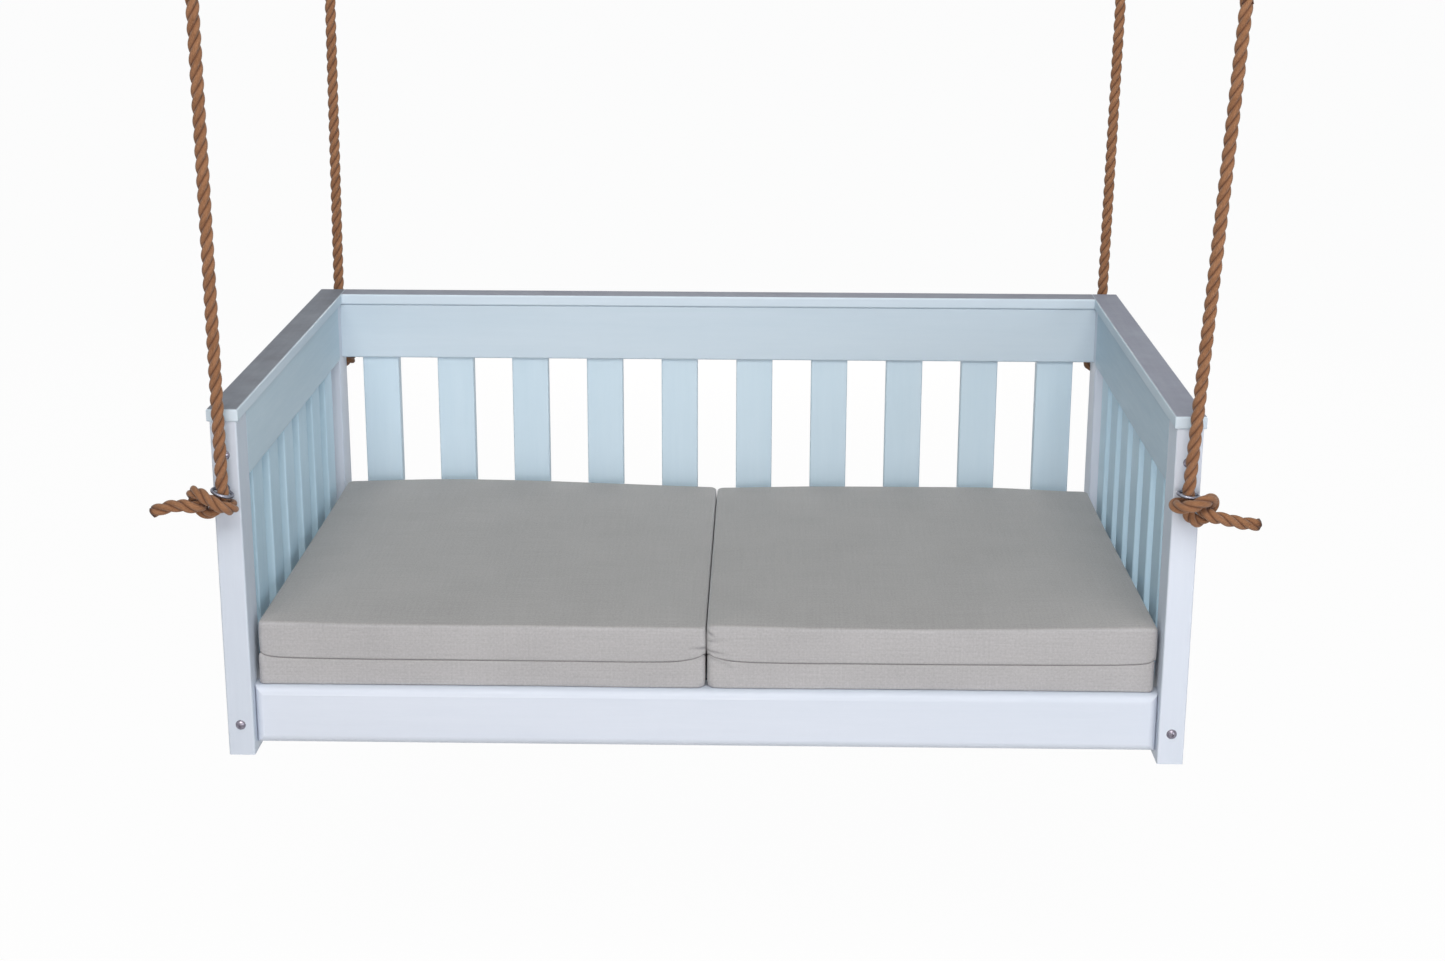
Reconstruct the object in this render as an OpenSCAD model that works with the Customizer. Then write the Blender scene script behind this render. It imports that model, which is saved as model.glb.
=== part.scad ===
// Porch swing seat: a box-framed timber settee hung on four ropes.
// Millimetres. The origin is on the ceiling, straight above the middle of the seat.
// +X runs along the seat to its right-hand end, seen from the open front, which faces -Y.
// +Z is up.

/* [Seat frame] */
// Width over the outer faces of the posts
frame_w = 1397; // [1150:1:1800]
// Depth over the front and back faces of the posts
frame_d = 852; // [760:1:1000]
// Post thickness, across the seat
post_w = 38.1; // [36:0.1:48]
// Post depth, front to back
post_d = 63.5; // [60:0.1:90]
// Post height
post_h = 506; // [480:1:600]
// Rail thickness
rail_t = 38.1; // [36:0.1:44]
// Height of the top rails
top_rail_h = 95; // [85:1:110]
// Height of the bottom rails
bottom_rail_h = 88.9; // [80:0.1:110]
// Distance from the post ends up to the bottom rails
foot_h = 12.7; // [8:0.1:30]
// Setback of the front rail behind the front posts' faces
front_setback = 12.7; // [0:0.1:20]
// Round-over on the front edges of the front rail
front_round = 12.7; // [6:0.1:16]
// Eased edge on the other framing timber
edge_r = 2.5; // [1:0.1:4]

/* [Cap boards] */
// Cap thickness
cap_t = 19; // [16:0.5:25]
// Cap width
cap_w = 44.5; // [40:0.5:60]
// Overhang of the caps past the posts
cap_over = 3.2; // [1:0.1:6]
// Eased edge of the caps
cap_edge = 3; // [1:0.1:6]

/* [Slats] */
// Slat width
slat_w = 63.5; // [45:0.5:70]
// Slat thickness
slat_t = 25; // [18:0.5:28]
// Number of back slats
back_slats_n = 10; // [6:1:11]
// Space between the end slats of the back and the posts
back_end_gap = 34.65; // [20:0.05:60]
// Number of slats in each arm
arm_slats_n = 6; // [4:1:7]
// Tenon width
tenon_w = 45; // [30:1:50]
// Tenon thickness
tenon_t = 12; // [8:1:15]
// Tenon length
tenon_l = 12; // [8:1:20]
// Clearance round a tenon in its mortise
tenon_clear = 0.2; // [0.1:0.05:0.5]

/* [Seat deck] */
// Number of seat boards
boards_n = 11; // [8:1:12]
// Seat board width
board_w = 89; // [60:1:95]
// Seat board thickness
board_t = 19; // [15:0.5:25]
// Cleat height under the boards
cleat_h = 38; // [30:1:48]
// Cleat thickness
cleat_t = 25; // [20:1:32]

/* [Fasteners] */
// Frame bolt diameter
bolt_d = 8; // [6:0.5:10]
// Clearance hole diameter beyond the bolt's own
bolt_clear = 1; // [0.4:0.1:2]
// Button head diameter
head_d = 15; // [13:0.5:18]
// Button head height
head_h = 4.4; // [3:0.1:6]
// Height of the lower bolts into the arm rails, above the post ends
low_bolt_z = 47; // [44:1:52]
// Drop of the upper bolts into the arm rails, below the post tops
high_bolt_drop = 49; // [45:1:55]
// Height of the lower bolts into the front and back rails, above the post ends
low_end_bolt_z = 70; // [68:1:80]
// Drop of the upper bolts into the back rail, below the post tops
high_end_bolt_drop = 24; // [20:1:28]
// Distance from a rail's end to its barrel nut
nut_inset = 35; // [28:1:50]
// Barrel nut diameter
nut_d = 12; // [11:0.5:15]
// Barrel nut length
nut_l = 24; // [18:1:28]
// Dowel diameter in the frame joints
dowel_d = 10; // [8:0.5:12]
// Dowel length in the frame joints
dowel_l = 38; // [30:1:44]
// Dowel diameter under the caps
cap_dowel_d = 8; // [6:0.5:10]
// Dowel length under the caps
cap_dowel_l = 22; // [16:1:26]
// Wood screw shank diameter
screw_d = 4; // [3.5:0.1:5]
// Wood screw head diameter
screw_head_d = 8; // [7:0.5:9]
// Length of the seat board screws
board_screw_l = 35; // [28:1:45]
// Length of the cleat screws
cleat_screw_l = 50; // [40:1:58]

/* [Eye screws] */
// Drop of the eye screws below the post tops
eye_drop = 97; // [95:1:126]
// Distance from the post face to the ring's centre
eye_out = 26; // [22:0.5:32]
// Radius of the ring at the middle of its wire
eye_ring_r = 14.8; // [13.5:0.1:15.5]
// Diameter of the ring's wire
eye_wire_d = 5; // [4:0.1:5.5]
// Shank diameter
eye_shank_d = 9.5; // [8:0.1:11]
// Length of the shank in the post
eye_shank_l = 52; // [35:1:55]
// Height of the front right eye screw above the others
eye_rise_fr = 8.5; // [-20:0.5:9]
// Sideways offset of the front right eye screw from the middle of its post
eye_side_fr = -2.5; // [-6:0.5:6]
// Sideways offset of the back left eye screw from the middle of its post
eye_side_bl = 4; // [-6:0.5:6]
// Sideways offset of the back right eye screw from the middle of its post
eye_side_br = -1; // [-6:0.5:6]

/* [Cushions] */
// Height of a cushion at its edge
cushion_h = 94; // [70:1:120]
// Rise of the crown above the edge
crown = 8; // [3:0.5:20]
// Distance from the front posts' faces to the cushions' fronts
cushion_front = 24; // [16:1:40]
// Space between a cushion and the frame at its outer end
cushion_side = 7; // [3:0.5:20]
// Space between a cushion and the back bottom rail
cushion_back = 36.9; // [4:0.1:60]
// Gap between the two cushions
cushion_gap = 4; // [2:0.5:10]
// Height of the side seam above the bottom of a cushion
seam_h = 40; // [30:1:50]
// How far the sides are drawn in, midway between the corners
draw_in = 2; // [0:0.5:10]
// Radius of a cushion's corners, seen from above
corner_r = 12; // [8:1:50]
// Clearance under a cushion
cushion_clear = 0.3; // [0.2:0.1:1]

/* [Ropes and ceiling fittings] */
// Rope diameter
rope_d = 18; // [16:0.5:18]
// Diameter of the rope in a knot, which pulls it tight
knot_d = 16; // [14:0.5:16]
// Height of the ceiling bolts above the eye screws
hang_h = 854; // [600:1:2000]
// Sideways offset of the front left ceiling bolt from its eye screw
top_shift_fl = -1; // [-60:1:60]
// Sideways offset of the front right ceiling bolt from its eye screw
top_shift_fr = 45; // [-60:1:60]
// Sideways offset of the back left ceiling bolt from its eye screw
top_shift_bl = 12; // [-60:1:60]
// Sideways offset of the back right ceiling bolt from its eye screw
top_shift_br = 10; // [-60:1:60]
// Radius of the rope eye at the middle of the rope
loop_r = 30; // [29:0.5:34]
// Distance from the shackle pin down to the throat of the rope eye
throat = 60; // [56:1:75]
// Length of the splice below the throat
splice_l = 56; // [45:1:90]
// Distance from the shackle pin up to the ceiling bolt
pin_to_bar = 56; // [54:1:70]
// Shackle pin diameter
pin_d = 12; // [10:0.5:12]
// Ceiling bolt diameter
bar_d = 12; // [10:0.5:12]
// Running clearance of a pin in its bore, measured on the radius
pin_clear = 0.05; // [0.02:0.01:0.1]
// Inside width of a shackle
shackle_in = 24; // [22:0.5:30]
// Diameter of the shackle's bow
shackle_wire = 10; // [8:0.5:11]
// Side of the square ceiling plate
plate_w = 90; // [84:1:120]
// Thickness of the ceiling plate and of its ears
plate_t = 6; // [4:0.5:10]
// Drop from the ceiling plate to the ceiling bolt
bar_drop = 27; // [25:1:40]
// Space between the ears of a bracket
ear_gap = 20; // [16:1:26]
// Distance between the screw holes of a ceiling plate
plate_holes = 64; // [60:1:76]
// Diameter of the screw holes of a ceiling plate
plate_hole_d = 7; // [5:0.5:9]

/* [Hidden] */

// Colours
paint = [0.80, 0.86, 0.90];
cloth = [0.70, 0.70, 0.70];
jute = [0.62, 0.47, 0.34];
steel = [0.72, 0.73, 0.75];
wood = [0.80, 0.68, 0.50];

fine = 48;
soft = 24;
eps = 0.01;

// The corners, in the order front left, front right, back left, back right
FL = 0;
FR = 1;
BL = 2;
BR = 3;
corners = [FL, FR, BL, BR];
side_x = [-1, 1, -1, 1];
side_y = [-1, -1, 1, 1];
top_shift = [top_shift_fl, top_shift_fr, top_shift_bl, top_shift_br];
eye_rise = [0, eye_rise_fr, 0, 0];
eye_side = [0, eye_side_fr, eye_side_bl, eye_side_br];
// Roll of each eye screw about its shank
eye_roll = [18, 9, -9, 9];

// Heights, above the post ends
eye_z = post_h - eye_drop;
foot_z = -(eye_z + hang_h + bar_drop + plate_t);
bottom_top = foot_h + bottom_rail_h;
top_bottom = post_h - top_rail_h;
high_bolt_z = post_h - high_bolt_drop;
high_end_bolt_z = post_h - high_end_bolt_drop;
board_z = bottom_top - board_t;
cleat_z = board_z - cleat_h;

// Places across and along the seat
half_w = frame_w / 2;
half_d = frame_d / 2;
inner_x = half_w - post_w;
inner_y = half_d - post_d;
post_x = half_w - post_w / 2;
arm_x = half_w - rail_t / 2;
front_rail_y = -half_d + front_setback;
front_rail_mid = front_rail_y + rail_t / 2;
back_rail_y = half_d - rail_t;
back_rail_mid = half_d - rail_t / 2;
deck_y0 = front_rail_y + rail_t;
deck_y1 = back_rail_y;
ring_y = half_d + eye_out;

// Dowels: beside the bolts into the arm rails, and below those into the front and back rails
dowel_over_low_bolt = 33;
dowel_under_high_bolt = 25;
dowel_under_low_end_bolt = 42;
dowel_under_high_end_bolt = 46;
side_dowel_low_z = low_bolt_z + dowel_over_low_bolt;
side_dowel_high_z = high_bolt_z - dowel_under_high_bolt;
end_dowel_low_z = low_end_bolt_z - dowel_under_low_end_bolt;
end_dowel_high_z = high_end_bolt_z - dowel_under_high_end_bolt;
dowel_clear = 0.1;
dowel_end_gap = 1;
cap_dowel_y = [-0.56, 0, 0.56] * half_d;
cap_dowel_x = [-0.66, 0, 0.66] * half_w;

bolt_tip = 12;
side_bolt_l = post_d + nut_inset + bolt_tip;
end_bolt_l = post_w + nut_inset + bolt_tip;
hole_past_tip = 2;
nut_clear = 0.1;
nut_hole_clear = 0.1;
nut_end_gap = 0.5;

back_slat_y = back_rail_mid;
back_pitch = (2 * (inner_x - back_end_gap) - slat_w) / (back_slats_n - 1);
arm_gap = (2 * inner_y - arm_slats_n * slat_w) / (arm_slats_n + 1);
back_slat_x = [for (i = [0 : back_slats_n - 1]) (i - (back_slats_n - 1) / 2) * back_pitch];
arm_slat_y = [for (i = [0 : arm_slats_n - 1])
    (i - (arm_slats_n - 1) / 2) * (slat_w + arm_gap)];
board_gap = (2 * inner_x - boards_n * board_w) / (boards_n + 1);
board_x = [for (i = [0 : boards_n - 1]) (i - (boards_n - 1) / 2) * (board_w + board_gap)];
screw_clear = 0.1;
screw_head_h = 4;
board_screw_in = 12;
cleat_screws_n = 7;
cleat_screw_inset = 80;
cleat_screw_pitch = 2 * (inner_x - cleat_screw_inset) / (cleat_screws_n - 1);
cleat_screw_x = [for (i = [0 : cleat_screws_n - 1])
    (i - (cleat_screws_n - 1) / 2) * cleat_screw_pitch];

rope_r = rope_d / 2;
knot_r = knot_d / 2;
rope_sides = 12;
knot_sides = 8;
knot_steps = 3;
// Length along a knot within which the rope's nearness to itself is its own bend
own_bend = 30;
// The nip is the bit of rope inside a ring, and its neighbours end clear of it
nip_r = rope_r - 0.3;
nip_gap = rope_r + 0.3;
// A rope's round end sits in a pocket in its knot
pocket_r = rope_r + 0.9;
pocket_wall = 1.1;
pocket_drop = 2.5;
pocket_top = 1;
pocket_floor = 4.5;

// Routes of the knots: outward, away from the post and up, from the ring's centre
knot_route_left = [[0, 0, -9.3], [1.6, 0, -13], [6, 1, -19], [12.5, 1, -26.5], [22, -2, -31],
    [32, -6, -29.5], [40, -9, -22.5], [44, -7, -12.5], [43, -2, -3.5], [39, 5, 2.4], [30, 12, 2],
    [18, 17, -3.8], [7, 18.5, -10.6], [-4.5, 16.5, -17], [-12.2, 5, -22], [-11.5, -7, -22],
    [-2.5, -15.8, -19], [9, -17.2, -14.5], [20, -11.5, -12.6], [28, 0, -13.6], [34, 9, -15.6],
    [43, 13, -15.6], [53, 13, -13.6], [65, 12, -14.6], [77, 12, -16.6], [89, 11, -20],
    [100, 10, -23]];
knot_route_right = [[0, 0, -12], [0.5, 0, -19], [2, 0, -27], [8, -1, -35.5], [17, -4, -39],
    [26, -8, -35.5], [33, -11, -26], [36, -7, -15], [33, 3, -6.5], [26, 14, -3], [15, 21.5, -5],
    [2, 22.5, -9.5], [-9, 17, -13], [-17, 6, -15], [-16, -6, -16], [-8, -15, -17],
    [4, -17.2, -17], [14, -12, -18], [20.5, 0, -20.5], [26, 11, -24], [36, 14, -28],
    [50, 13, -31], [66, 12, -35], [82, 11, -38], [102, 10, -39]];

// --- shapes ---------------------------------------------------------------

// Rectangle centred on the origin with round corners
module rounded_rect(x, y, r) {
    square([x - 2 * r, y], center = true);
    square([x, y - 2 * r], center = true);
    for (i = [-1, 1], j = [-1, 1])
        translate([i * (x / 2 - r), j * (y / 2 - r)]) circle(r, $fn = soft);
}

// Rectangle from the origin whose two corners on the first axis are round
module front_rounded(x, y, r) {
    translate([r, 0]) square([x - 2 * r, y]);
    translate([0, r]) square([x, y - r]);
    for (i = [r, x - r]) translate([i, r]) circle(r, $fn = fine);
}

// Bar along X with eased long edges, centred on x = 0
module bar_x(length, y, z, depth, height, r)
    translate([-length / 2, y + depth / 2, z + height / 2])
        rotate([90, 0, 90]) linear_extrude(length) rounded_rect(depth, height, r);

// Bar along Y with eased long edges, centred on y = 0
module bar_y(length, x, z, width, height, r)
    translate([x, length / 2, z + height / 2])
        rotate([90, 0, 0]) linear_extrude(length) rounded_rect(width, height, r);

// Ring of points round a centre, on two axes
function ring_at(p, a, b, ra, rb, n) =
    [for (i = [0 : n - 1]) p + a * ra * cos(360 * i / n) + b * rb * sin(360 * i / n)];

function total(list) = [for (i = [0 : len(list) - 1]) 1] * list;
function middle(ring) = total(ring) / len(ring);

// Closed skin over a stack of rings of equal length, each end a fan round its middle
module skin(rings) {
    n = len(rings[0]);
    m = len(rings);
    points = concat([for (ring = rings) for (p = ring) p],
        [middle(rings[0]), middle(rings[m - 1])]);
    walls = [for (j = [0 : m - 2]) for (i = [0 : n - 1])
        let (k = (i + 1) % n, a = j * n + i, b = j * n + k, c = a + n, d = b + n)
        each [[a, c, b], [b, c, d]]];
    floor_faces = [for (i = [0 : n - 1]) [m * n, i, (i + 1) % n]];
    top_faces = [for (i = [0 : n - 1]) let (s = (m - 1) * n) [m * n + 1, s + (i + 1) % n, s + i]];
    polyhedron(points, concat(walls, floor_faces, top_faces));
}

function unit(v) = v / norm(v);

// Directions along a list of points
function directions(p) = [for (i = [0 : len(p) - 1])
    unit(p[min(i + 1, len(p) - 1)] - p[max(i - 1, 0)])];

// Sideways axes that turn as little as possible along a list of directions
function side_axes(t, first) = [for (i = 0, n = first; i < len(t);
    i = i + 1, n = i < len(t) ? unit(n - t[i] * (n * t[i])) : n) n];

// Round tube along a list of points
module tube(p, r, first, n) {
    t = directions(p);
    a = side_axes(t, unit(first - t[0] * (first * t[0])));
    skin([for (i = [0 : len(p) - 1]) ring_at(p[i], a[i], cross(t[i], a[i]), r, r, n)]);
}

// Smooth curve through a list of points, with a number of steps between neighbours
function curve_point(a, b, c, d, t) = b + (c - a) * t / 2
    + (2 * a - 5 * b + 4 * c - d) * t * t / 2 + (3 * b - a - 3 * c + d) * t * t * t / 2;
function curve(p, steps) = let (last = len(p) - 1) concat(
    [for (i = [0 : last - 1]) for (k = [0 : steps - 1])
        curve_point(p[max(i - 1, 0)], p[i], p[i + 1], p[min(i + 2, last)], k / steps)],
    [p[last]]);

// Least gap of a tube to itself, past the stretch that its own bend takes up
function path_length(p, i) = i == 0 ? 0 : norm(p[i] - p[i - 1]) + path_length(p, i - 1);
function self_gap(p, r, skip) = let (s = [for (i = [0 : len(p) - 1]) path_length(p, i)])
    min([for (i = [0 : len(p) - 2]) for (j = [i + 1 : len(p) - 1])
        if (s[j] - s[i] > skip) norm(p[j] - p[i])]) - 2 * r;

// --- places ---------------------------------------------------------------

// The seat's own level, with z = 0 at the post ends
module at_seat() translate([0, 0, foot_z]) children();

// On a post's front or back face, looking into the seat
module at_side_bolt(c, z)
    translate([side_x[c] * post_x, side_y[c] * half_d, z]) rotate([90 * side_y[c], 0, 0])
        children();

// On a post's outer face, looking into the seat
module at_end_bolt(c, y, z)
    translate([side_x[c] * half_w, y, z]) rotate([0, -90 * side_x[c], 0]) children();

// At the centre of a corner's eye screw ring
module at_ring(c)
    translate([side_x[c] * post_x + eye_side[c], side_y[c] * ring_y, foot_z + eye_z + eye_rise[c]])
        children();

// Along a corner's rope, with +Z up the rope
function bar_over_ring(c) = hang_h - eye_rise[c];
function lean(c) = atan(top_shift[c] / bar_over_ring(c));
function bar_up(c) = norm([top_shift[c], bar_over_ring(c)]);
function pin_up(c) = bar_up(c) - pin_to_bar;
module along_rope(c) at_ring(c) rotate([0, lean(c), 0]) children();
module at_pin(c) along_rope(c) translate([0, 0, pin_up(c)]) children();

// At the middle of a corner's ceiling bolt
module at_bar(c) at_ring(c) translate([top_shift[c], 0, bar_over_ring(c)]) children();

// --- joints: the same holes serve both pieces ------------------------------

function end_bolt_levels(c) = side_y[c] < 0 ? [low_end_bolt_z] : [low_end_bolt_z, high_end_bolt_z];
function end_bolt_y(c) = side_y[c] < 0 ? front_rail_mid : back_rail_mid;
function end_dowel_levels(c) =
    side_y[c] < 0 ? [end_dowel_low_z] : [end_dowel_low_z, end_dowel_high_z];

module bolt_hole(length)
    translate([0, 0, -1]) cylinder(h = length + hole_past_tip + 1, d = bolt_d + bolt_clear,
        $fn = fine);

module side_bolt_holes(c) for (z = [low_bolt_z, high_bolt_z]) at_side_bolt(c, z)
    bolt_hole(side_bolt_l);

module end_bolt_holes(c) for (z = end_bolt_levels(c)) at_end_bolt(c, end_bolt_y(c), z)
    bolt_hole(end_bolt_l);

module dowel(d, length) cylinder(h = length, d = d, center = true, $fn = soft);

module side_dowels(c, extra) for (z = [side_dowel_low_z, side_dowel_high_z])
    translate([side_x[c] * post_x, side_y[c] * inner_y, z]) rotate([90, 0, 0])
        dowel(dowel_d + 2 * extra, dowel_l + (extra > 0 ? dowel_end_gap : 0));

module end_dowels(c, extra) for (z = end_dowel_levels(c))
    translate([side_x[c] * inner_x, end_bolt_y(c), z]) rotate([0, 90, 0])
        dowel(dowel_d + 2 * extra, dowel_l + (extra > 0 ? dowel_end_gap : 0));

module arm_cap_dowels(side, extra) for (y = cap_dowel_y)
    translate([side * arm_x, y, post_h])
        dowel(cap_dowel_d + 2 * extra, cap_dowel_l + (extra > 0 ? dowel_end_gap : 0));

module back_cap_dowels(extra) for (x = cap_dowel_x)
    translate([x, back_rail_mid, post_h])
        dowel(cap_dowel_d + 2 * extra, cap_dowel_l + (extra > 0 ? dowel_end_gap : 0));

// Bores for the barrel nuts: up into the arm rails, and across the front and back rails
module side_nut_bores(c) for (z = [low_bolt_z, high_bolt_z])
    let (bottom = z == low_bolt_z ? foot_h : top_bottom)
    translate([side_x[c] * post_x, side_y[c] * (inner_y - nut_inset), bottom - 1])
        cylinder(h = z - bottom + 1 + nut_l / 2 + nut_end_gap, d = nut_d + 2 * nut_clear,
            $fn = fine);

// The back top rail is bored from behind, the bottom rails from inside
module end_nut_bore(c, z) {
    from_back = z == high_end_bolt_z ? 1 : side_y[c] < 0 ? 1 : -1;
    face = end_bolt_y(c) + from_back * rail_t / 2;
    translate([side_x[c] * (inner_x - nut_inset), face + from_back, z])
        rotate([90 * from_back, 0, 0])
            cylinder(h = rail_t / 2 + 1 + nut_l / 2 + nut_end_gap, d = nut_d + 2 * nut_clear,
                $fn = fine);
}

module slat_tenons(places, y_axis, extra) for (p = places) for (z = [bottom_top, top_bottom])
    translate(y_axis ? [0, p, z] : [p, 0, z])
        cube([(y_axis ? tenon_t : tenon_w) + 2 * extra, (y_axis ? tenon_w : tenon_t) + 2 * extra,
            2 * (tenon_l + (extra > 0 ? dowel_end_gap : 0))], center = true);

// --- frame ----------------------------------------------------------------

module eye_hole(c) translate([eye_side[c], 0, 0]) at_side_bolt(c, eye_z + eye_rise[c])
    translate([0, 0, -1]) cylinder(h = eye_shank_l + 2, d = eye_shank_d + 0.1, $fn = fine);

module post(c) color(paint) at_seat() difference() {
    translate([side_x[c] * post_x, side_y[c] * (half_d - post_d / 2), 0])
        linear_extrude(post_h) rounded_rect(post_w, post_d, edge_r);
    side_bolt_holes(c);
    end_bolt_holes(c);
    side_dowels(c, dowel_clear);
    end_dowels(c, dowel_clear);
    eye_hole(c);
}

module front_rail() color(paint) at_seat() difference() {
    intersection() {
        translate([-inner_x, front_rail_y, foot_h])
            linear_extrude(bottom_rail_h) front_rounded(2 * inner_x, rail_t, front_round);
        translate([-inner_x, front_rail_y, foot_h]) multmatrix([[0, 0, 1, 0], [0, 1, 0, 0],
            [1, 0, 0, 0]]) linear_extrude(2 * inner_x)
                front_rounded(bottom_rail_h, rail_t, front_round);
    }
    for (c = [FL, FR]) {
        end_bolt_holes(c);
        end_dowels(c, dowel_clear);
        end_nut_bore(c, low_end_bolt_z);
    }
    cleat_screw_holes(front_rail_y + rail_t, -1);
}

module back_bottom_rail() color(paint) at_seat() difference() {
    bar_x(2 * inner_x, back_rail_y, foot_h, rail_t, bottom_rail_h, edge_r);
    for (c = [BL, BR]) {
        end_bolt_holes(c);
        end_dowels(c, dowel_clear);
        end_nut_bore(c, low_end_bolt_z);
    }
    translate([0, back_slat_y, 0]) slat_tenons(back_slat_x, false, tenon_clear);
    cleat_screw_holes(back_rail_y, 1);
}

module back_top_rail() color(paint) at_seat() difference() {
    bar_x(2 * inner_x, back_rail_y, top_bottom, rail_t, top_rail_h, edge_r);
    for (c = [BL, BR]) {
        end_bolt_holes(c);
        end_dowels(c, dowel_clear);
        end_nut_bore(c, high_end_bolt_z);
    }
    translate([0, back_slat_y, 0]) slat_tenons(back_slat_x, false, tenon_clear);
    back_cap_dowels(dowel_clear);
}

module arm_rail(side, z, height) color(paint) at_seat() difference() {
    bar_y(2 * inner_y, side * arm_x, z, rail_t, height, edge_r);
    for (c = corners) if (side_x[c] == side) {
        side_bolt_holes(c);
        side_dowels(c, dowel_clear);
        side_nut_bores(c);
    }
    translate([side * arm_x, 0, 0]) slat_tenons(arm_slat_y, true, tenon_clear);
    arm_cap_dowels(side, dowel_clear);
}
module arm_top_rail(side) arm_rail(side, top_bottom, top_rail_h);
module arm_bottom_rail(side) arm_rail(side, foot_h, bottom_rail_h);

module arm_cap(side) color(paint) at_seat() difference() {
    intersection() {
        bar_y(frame_d + 2 * cap_over, side * (half_w + cap_over - cap_w / 2), post_h, cap_w,
            cap_t, cap_edge);
        bar_x(frame_w + 4 * cap_over, -half_d - cap_over, post_h, frame_d + 2 * cap_over,
            cap_t, cap_edge);
    }
    arm_cap_dowels(side, dowel_clear);
}

module back_cap() color(paint) at_seat() difference() {
    bar_x(2 * (half_w + cap_over - cap_w), half_d + cap_over - cap_w, post_h, cap_w, cap_t,
        cap_edge);
    back_cap_dowels(dowel_clear);
}

module back_slats() color(paint) at_seat() {
    for (x = back_slat_x) translate([x, back_slat_y, bottom_top])
        linear_extrude(top_bottom - bottom_top) rounded_rect(slat_w, slat_t, edge_r);
    translate([0, back_slat_y, 0]) slat_tenons(back_slat_x, false, 0);
}

module arm_slats(side) color(paint) at_seat() translate([side * arm_x, 0, 0]) {
    for (y = arm_slat_y) translate([0, y, bottom_top])
        linear_extrude(top_bottom - bottom_top) rounded_rect(slat_t, slat_w, edge_r);
    slat_tenons(arm_slat_y, true, 0);
}

// --- deck -----------------------------------------------------------------

// Countersunk screw from its head's top at z = 0 down
module wood_screw(length, extra) {
    translate([0, 0, -length - (extra > 0 ? 1 : 0)])
        cylinder(h = length + (extra > 0 ? 1 : 0), d = screw_d + 2 * extra, $fn = soft);
    translate([0, 0, -screw_head_h]) cylinder(h = screw_head_h + (extra > 0 ? eps : 0),
        d1 = screw_d + 2 * extra, d2 = screw_head_d + 2 * extra, $fn = soft);
}

module board_screw_set(extra) for (x = board_x) for (y = [deck_y0 + board_screw_in,
    deck_y1 - board_screw_in]) translate([x, y, bottom_top]) wood_screw(board_screw_l, extra);

module seat_boards() color(paint) at_seat() difference() {
    for (x = board_x) translate([x, (deck_y0 + deck_y1) / 2, board_z]) rotate([90, 0, 0])
        translate([0, board_t / 2, -(deck_y1 - deck_y0) / 2])
            linear_extrude(deck_y1 - deck_y0) rounded_rect(board_w, board_t, edge_r);
    board_screw_set(screw_clear);
}

// Screws through a cleat into the rail whose inner face is at y
module cleat_screw_row(y, way, extra) for (x = cleat_screw_x)
    translate([x, y - way * cleat_t, cleat_z + cleat_h / 2]) rotate([90 * way, 0, 0])
        wood_screw(cleat_screw_l, extra);
module cleat_screw_holes(y, way) cleat_screw_row(y, way, screw_clear);

// Cleat on the inner face, at y, of the front (way = -1) or back (way = 1) bottom rail
module seat_cleat(y, way) color(wood) at_seat() difference() {
    translate([-inner_x, min(y, y - way * cleat_t), cleat_z])
        cube([2 * inner_x, cleat_t, cleat_h]);
    cleat_screw_row(y, way, screw_clear);
    board_screw_set(screw_clear);
}
module seat_cleat_front() seat_cleat(deck_y0, -1);
module seat_cleat_back() seat_cleat(deck_y1, 1);

module board_screws() color(steel) at_seat() board_screw_set(0);
module cleat_screws() color(steel) at_seat() {
    cleat_screw_row(deck_y0, -1, 0);
    cleat_screw_row(deck_y1, 1, 0);
}

// --- fasteners ------------------------------------------------------------

// Button head bolt: the head stands outside z = 0 and the shank runs up
module bolt(length) {
    socket_d = 5.8;
    socket_h = 2.6;
    difference() {
        rotate_extrude($fn = fine) difference() {
            intersection() {
                translate([0, -head_h]) square([head_d / 2, head_h]);
                translate([0, (head_d * head_d / 4 - head_h * head_h) / (2 * head_h)])
                    circle((head_d * head_d / 4 + head_h * head_h) / (2 * head_h), $fn = 96);
            }
        }
        translate([0, 0, -head_h - 1]) cylinder(h = socket_h + 1, d = socket_d, $fn = 6);
    }
    cylinder(h = length, d = bolt_d, $fn = fine);
}

module arm_bolts() color(steel) at_seat() for (c = corners)
    for (z = [low_bolt_z, high_bolt_z]) at_side_bolt(c, z) bolt(side_bolt_l);

module rail_bolts() color(steel) at_seat() for (c = corners)
    for (z = end_bolt_levels(c)) at_end_bolt(c, end_bolt_y(c), z) bolt(end_bolt_l);

// Barrel nut on the origin, across the bolt that runs along Z, lying along X
module barrel_nut() difference() {
    rotate([0, 90, 0]) cylinder(h = nut_l, d = nut_d, center = true, $fn = fine);
    cylinder(h = nut_d + 2, d = bolt_d + 2 * nut_hole_clear, center = true, $fn = fine);
}

module barrel_nuts() color(steel) at_seat() for (c = corners) {
    for (z = [low_bolt_z, high_bolt_z]) at_side_bolt(c, z)
        translate([0, 0, post_d + nut_inset]) rotate([0, 0, 90]) barrel_nut();
    for (z = end_bolt_levels(c)) at_end_bolt(c, end_bolt_y(c), z)
        translate([0, 0, post_w + nut_inset]) rotate([0, 0, 90]) barrel_nut();
}

module frame_dowels() color(wood) at_seat() for (c = corners) {
    side_dowels(c, 0);
    end_dowels(c, 0);
}

module cap_dowels() color(wood) at_seat() {
    for (side = [-1, 1]) arm_cap_dowels(side, 0);
    back_cap_dowels(0);
}

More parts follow.
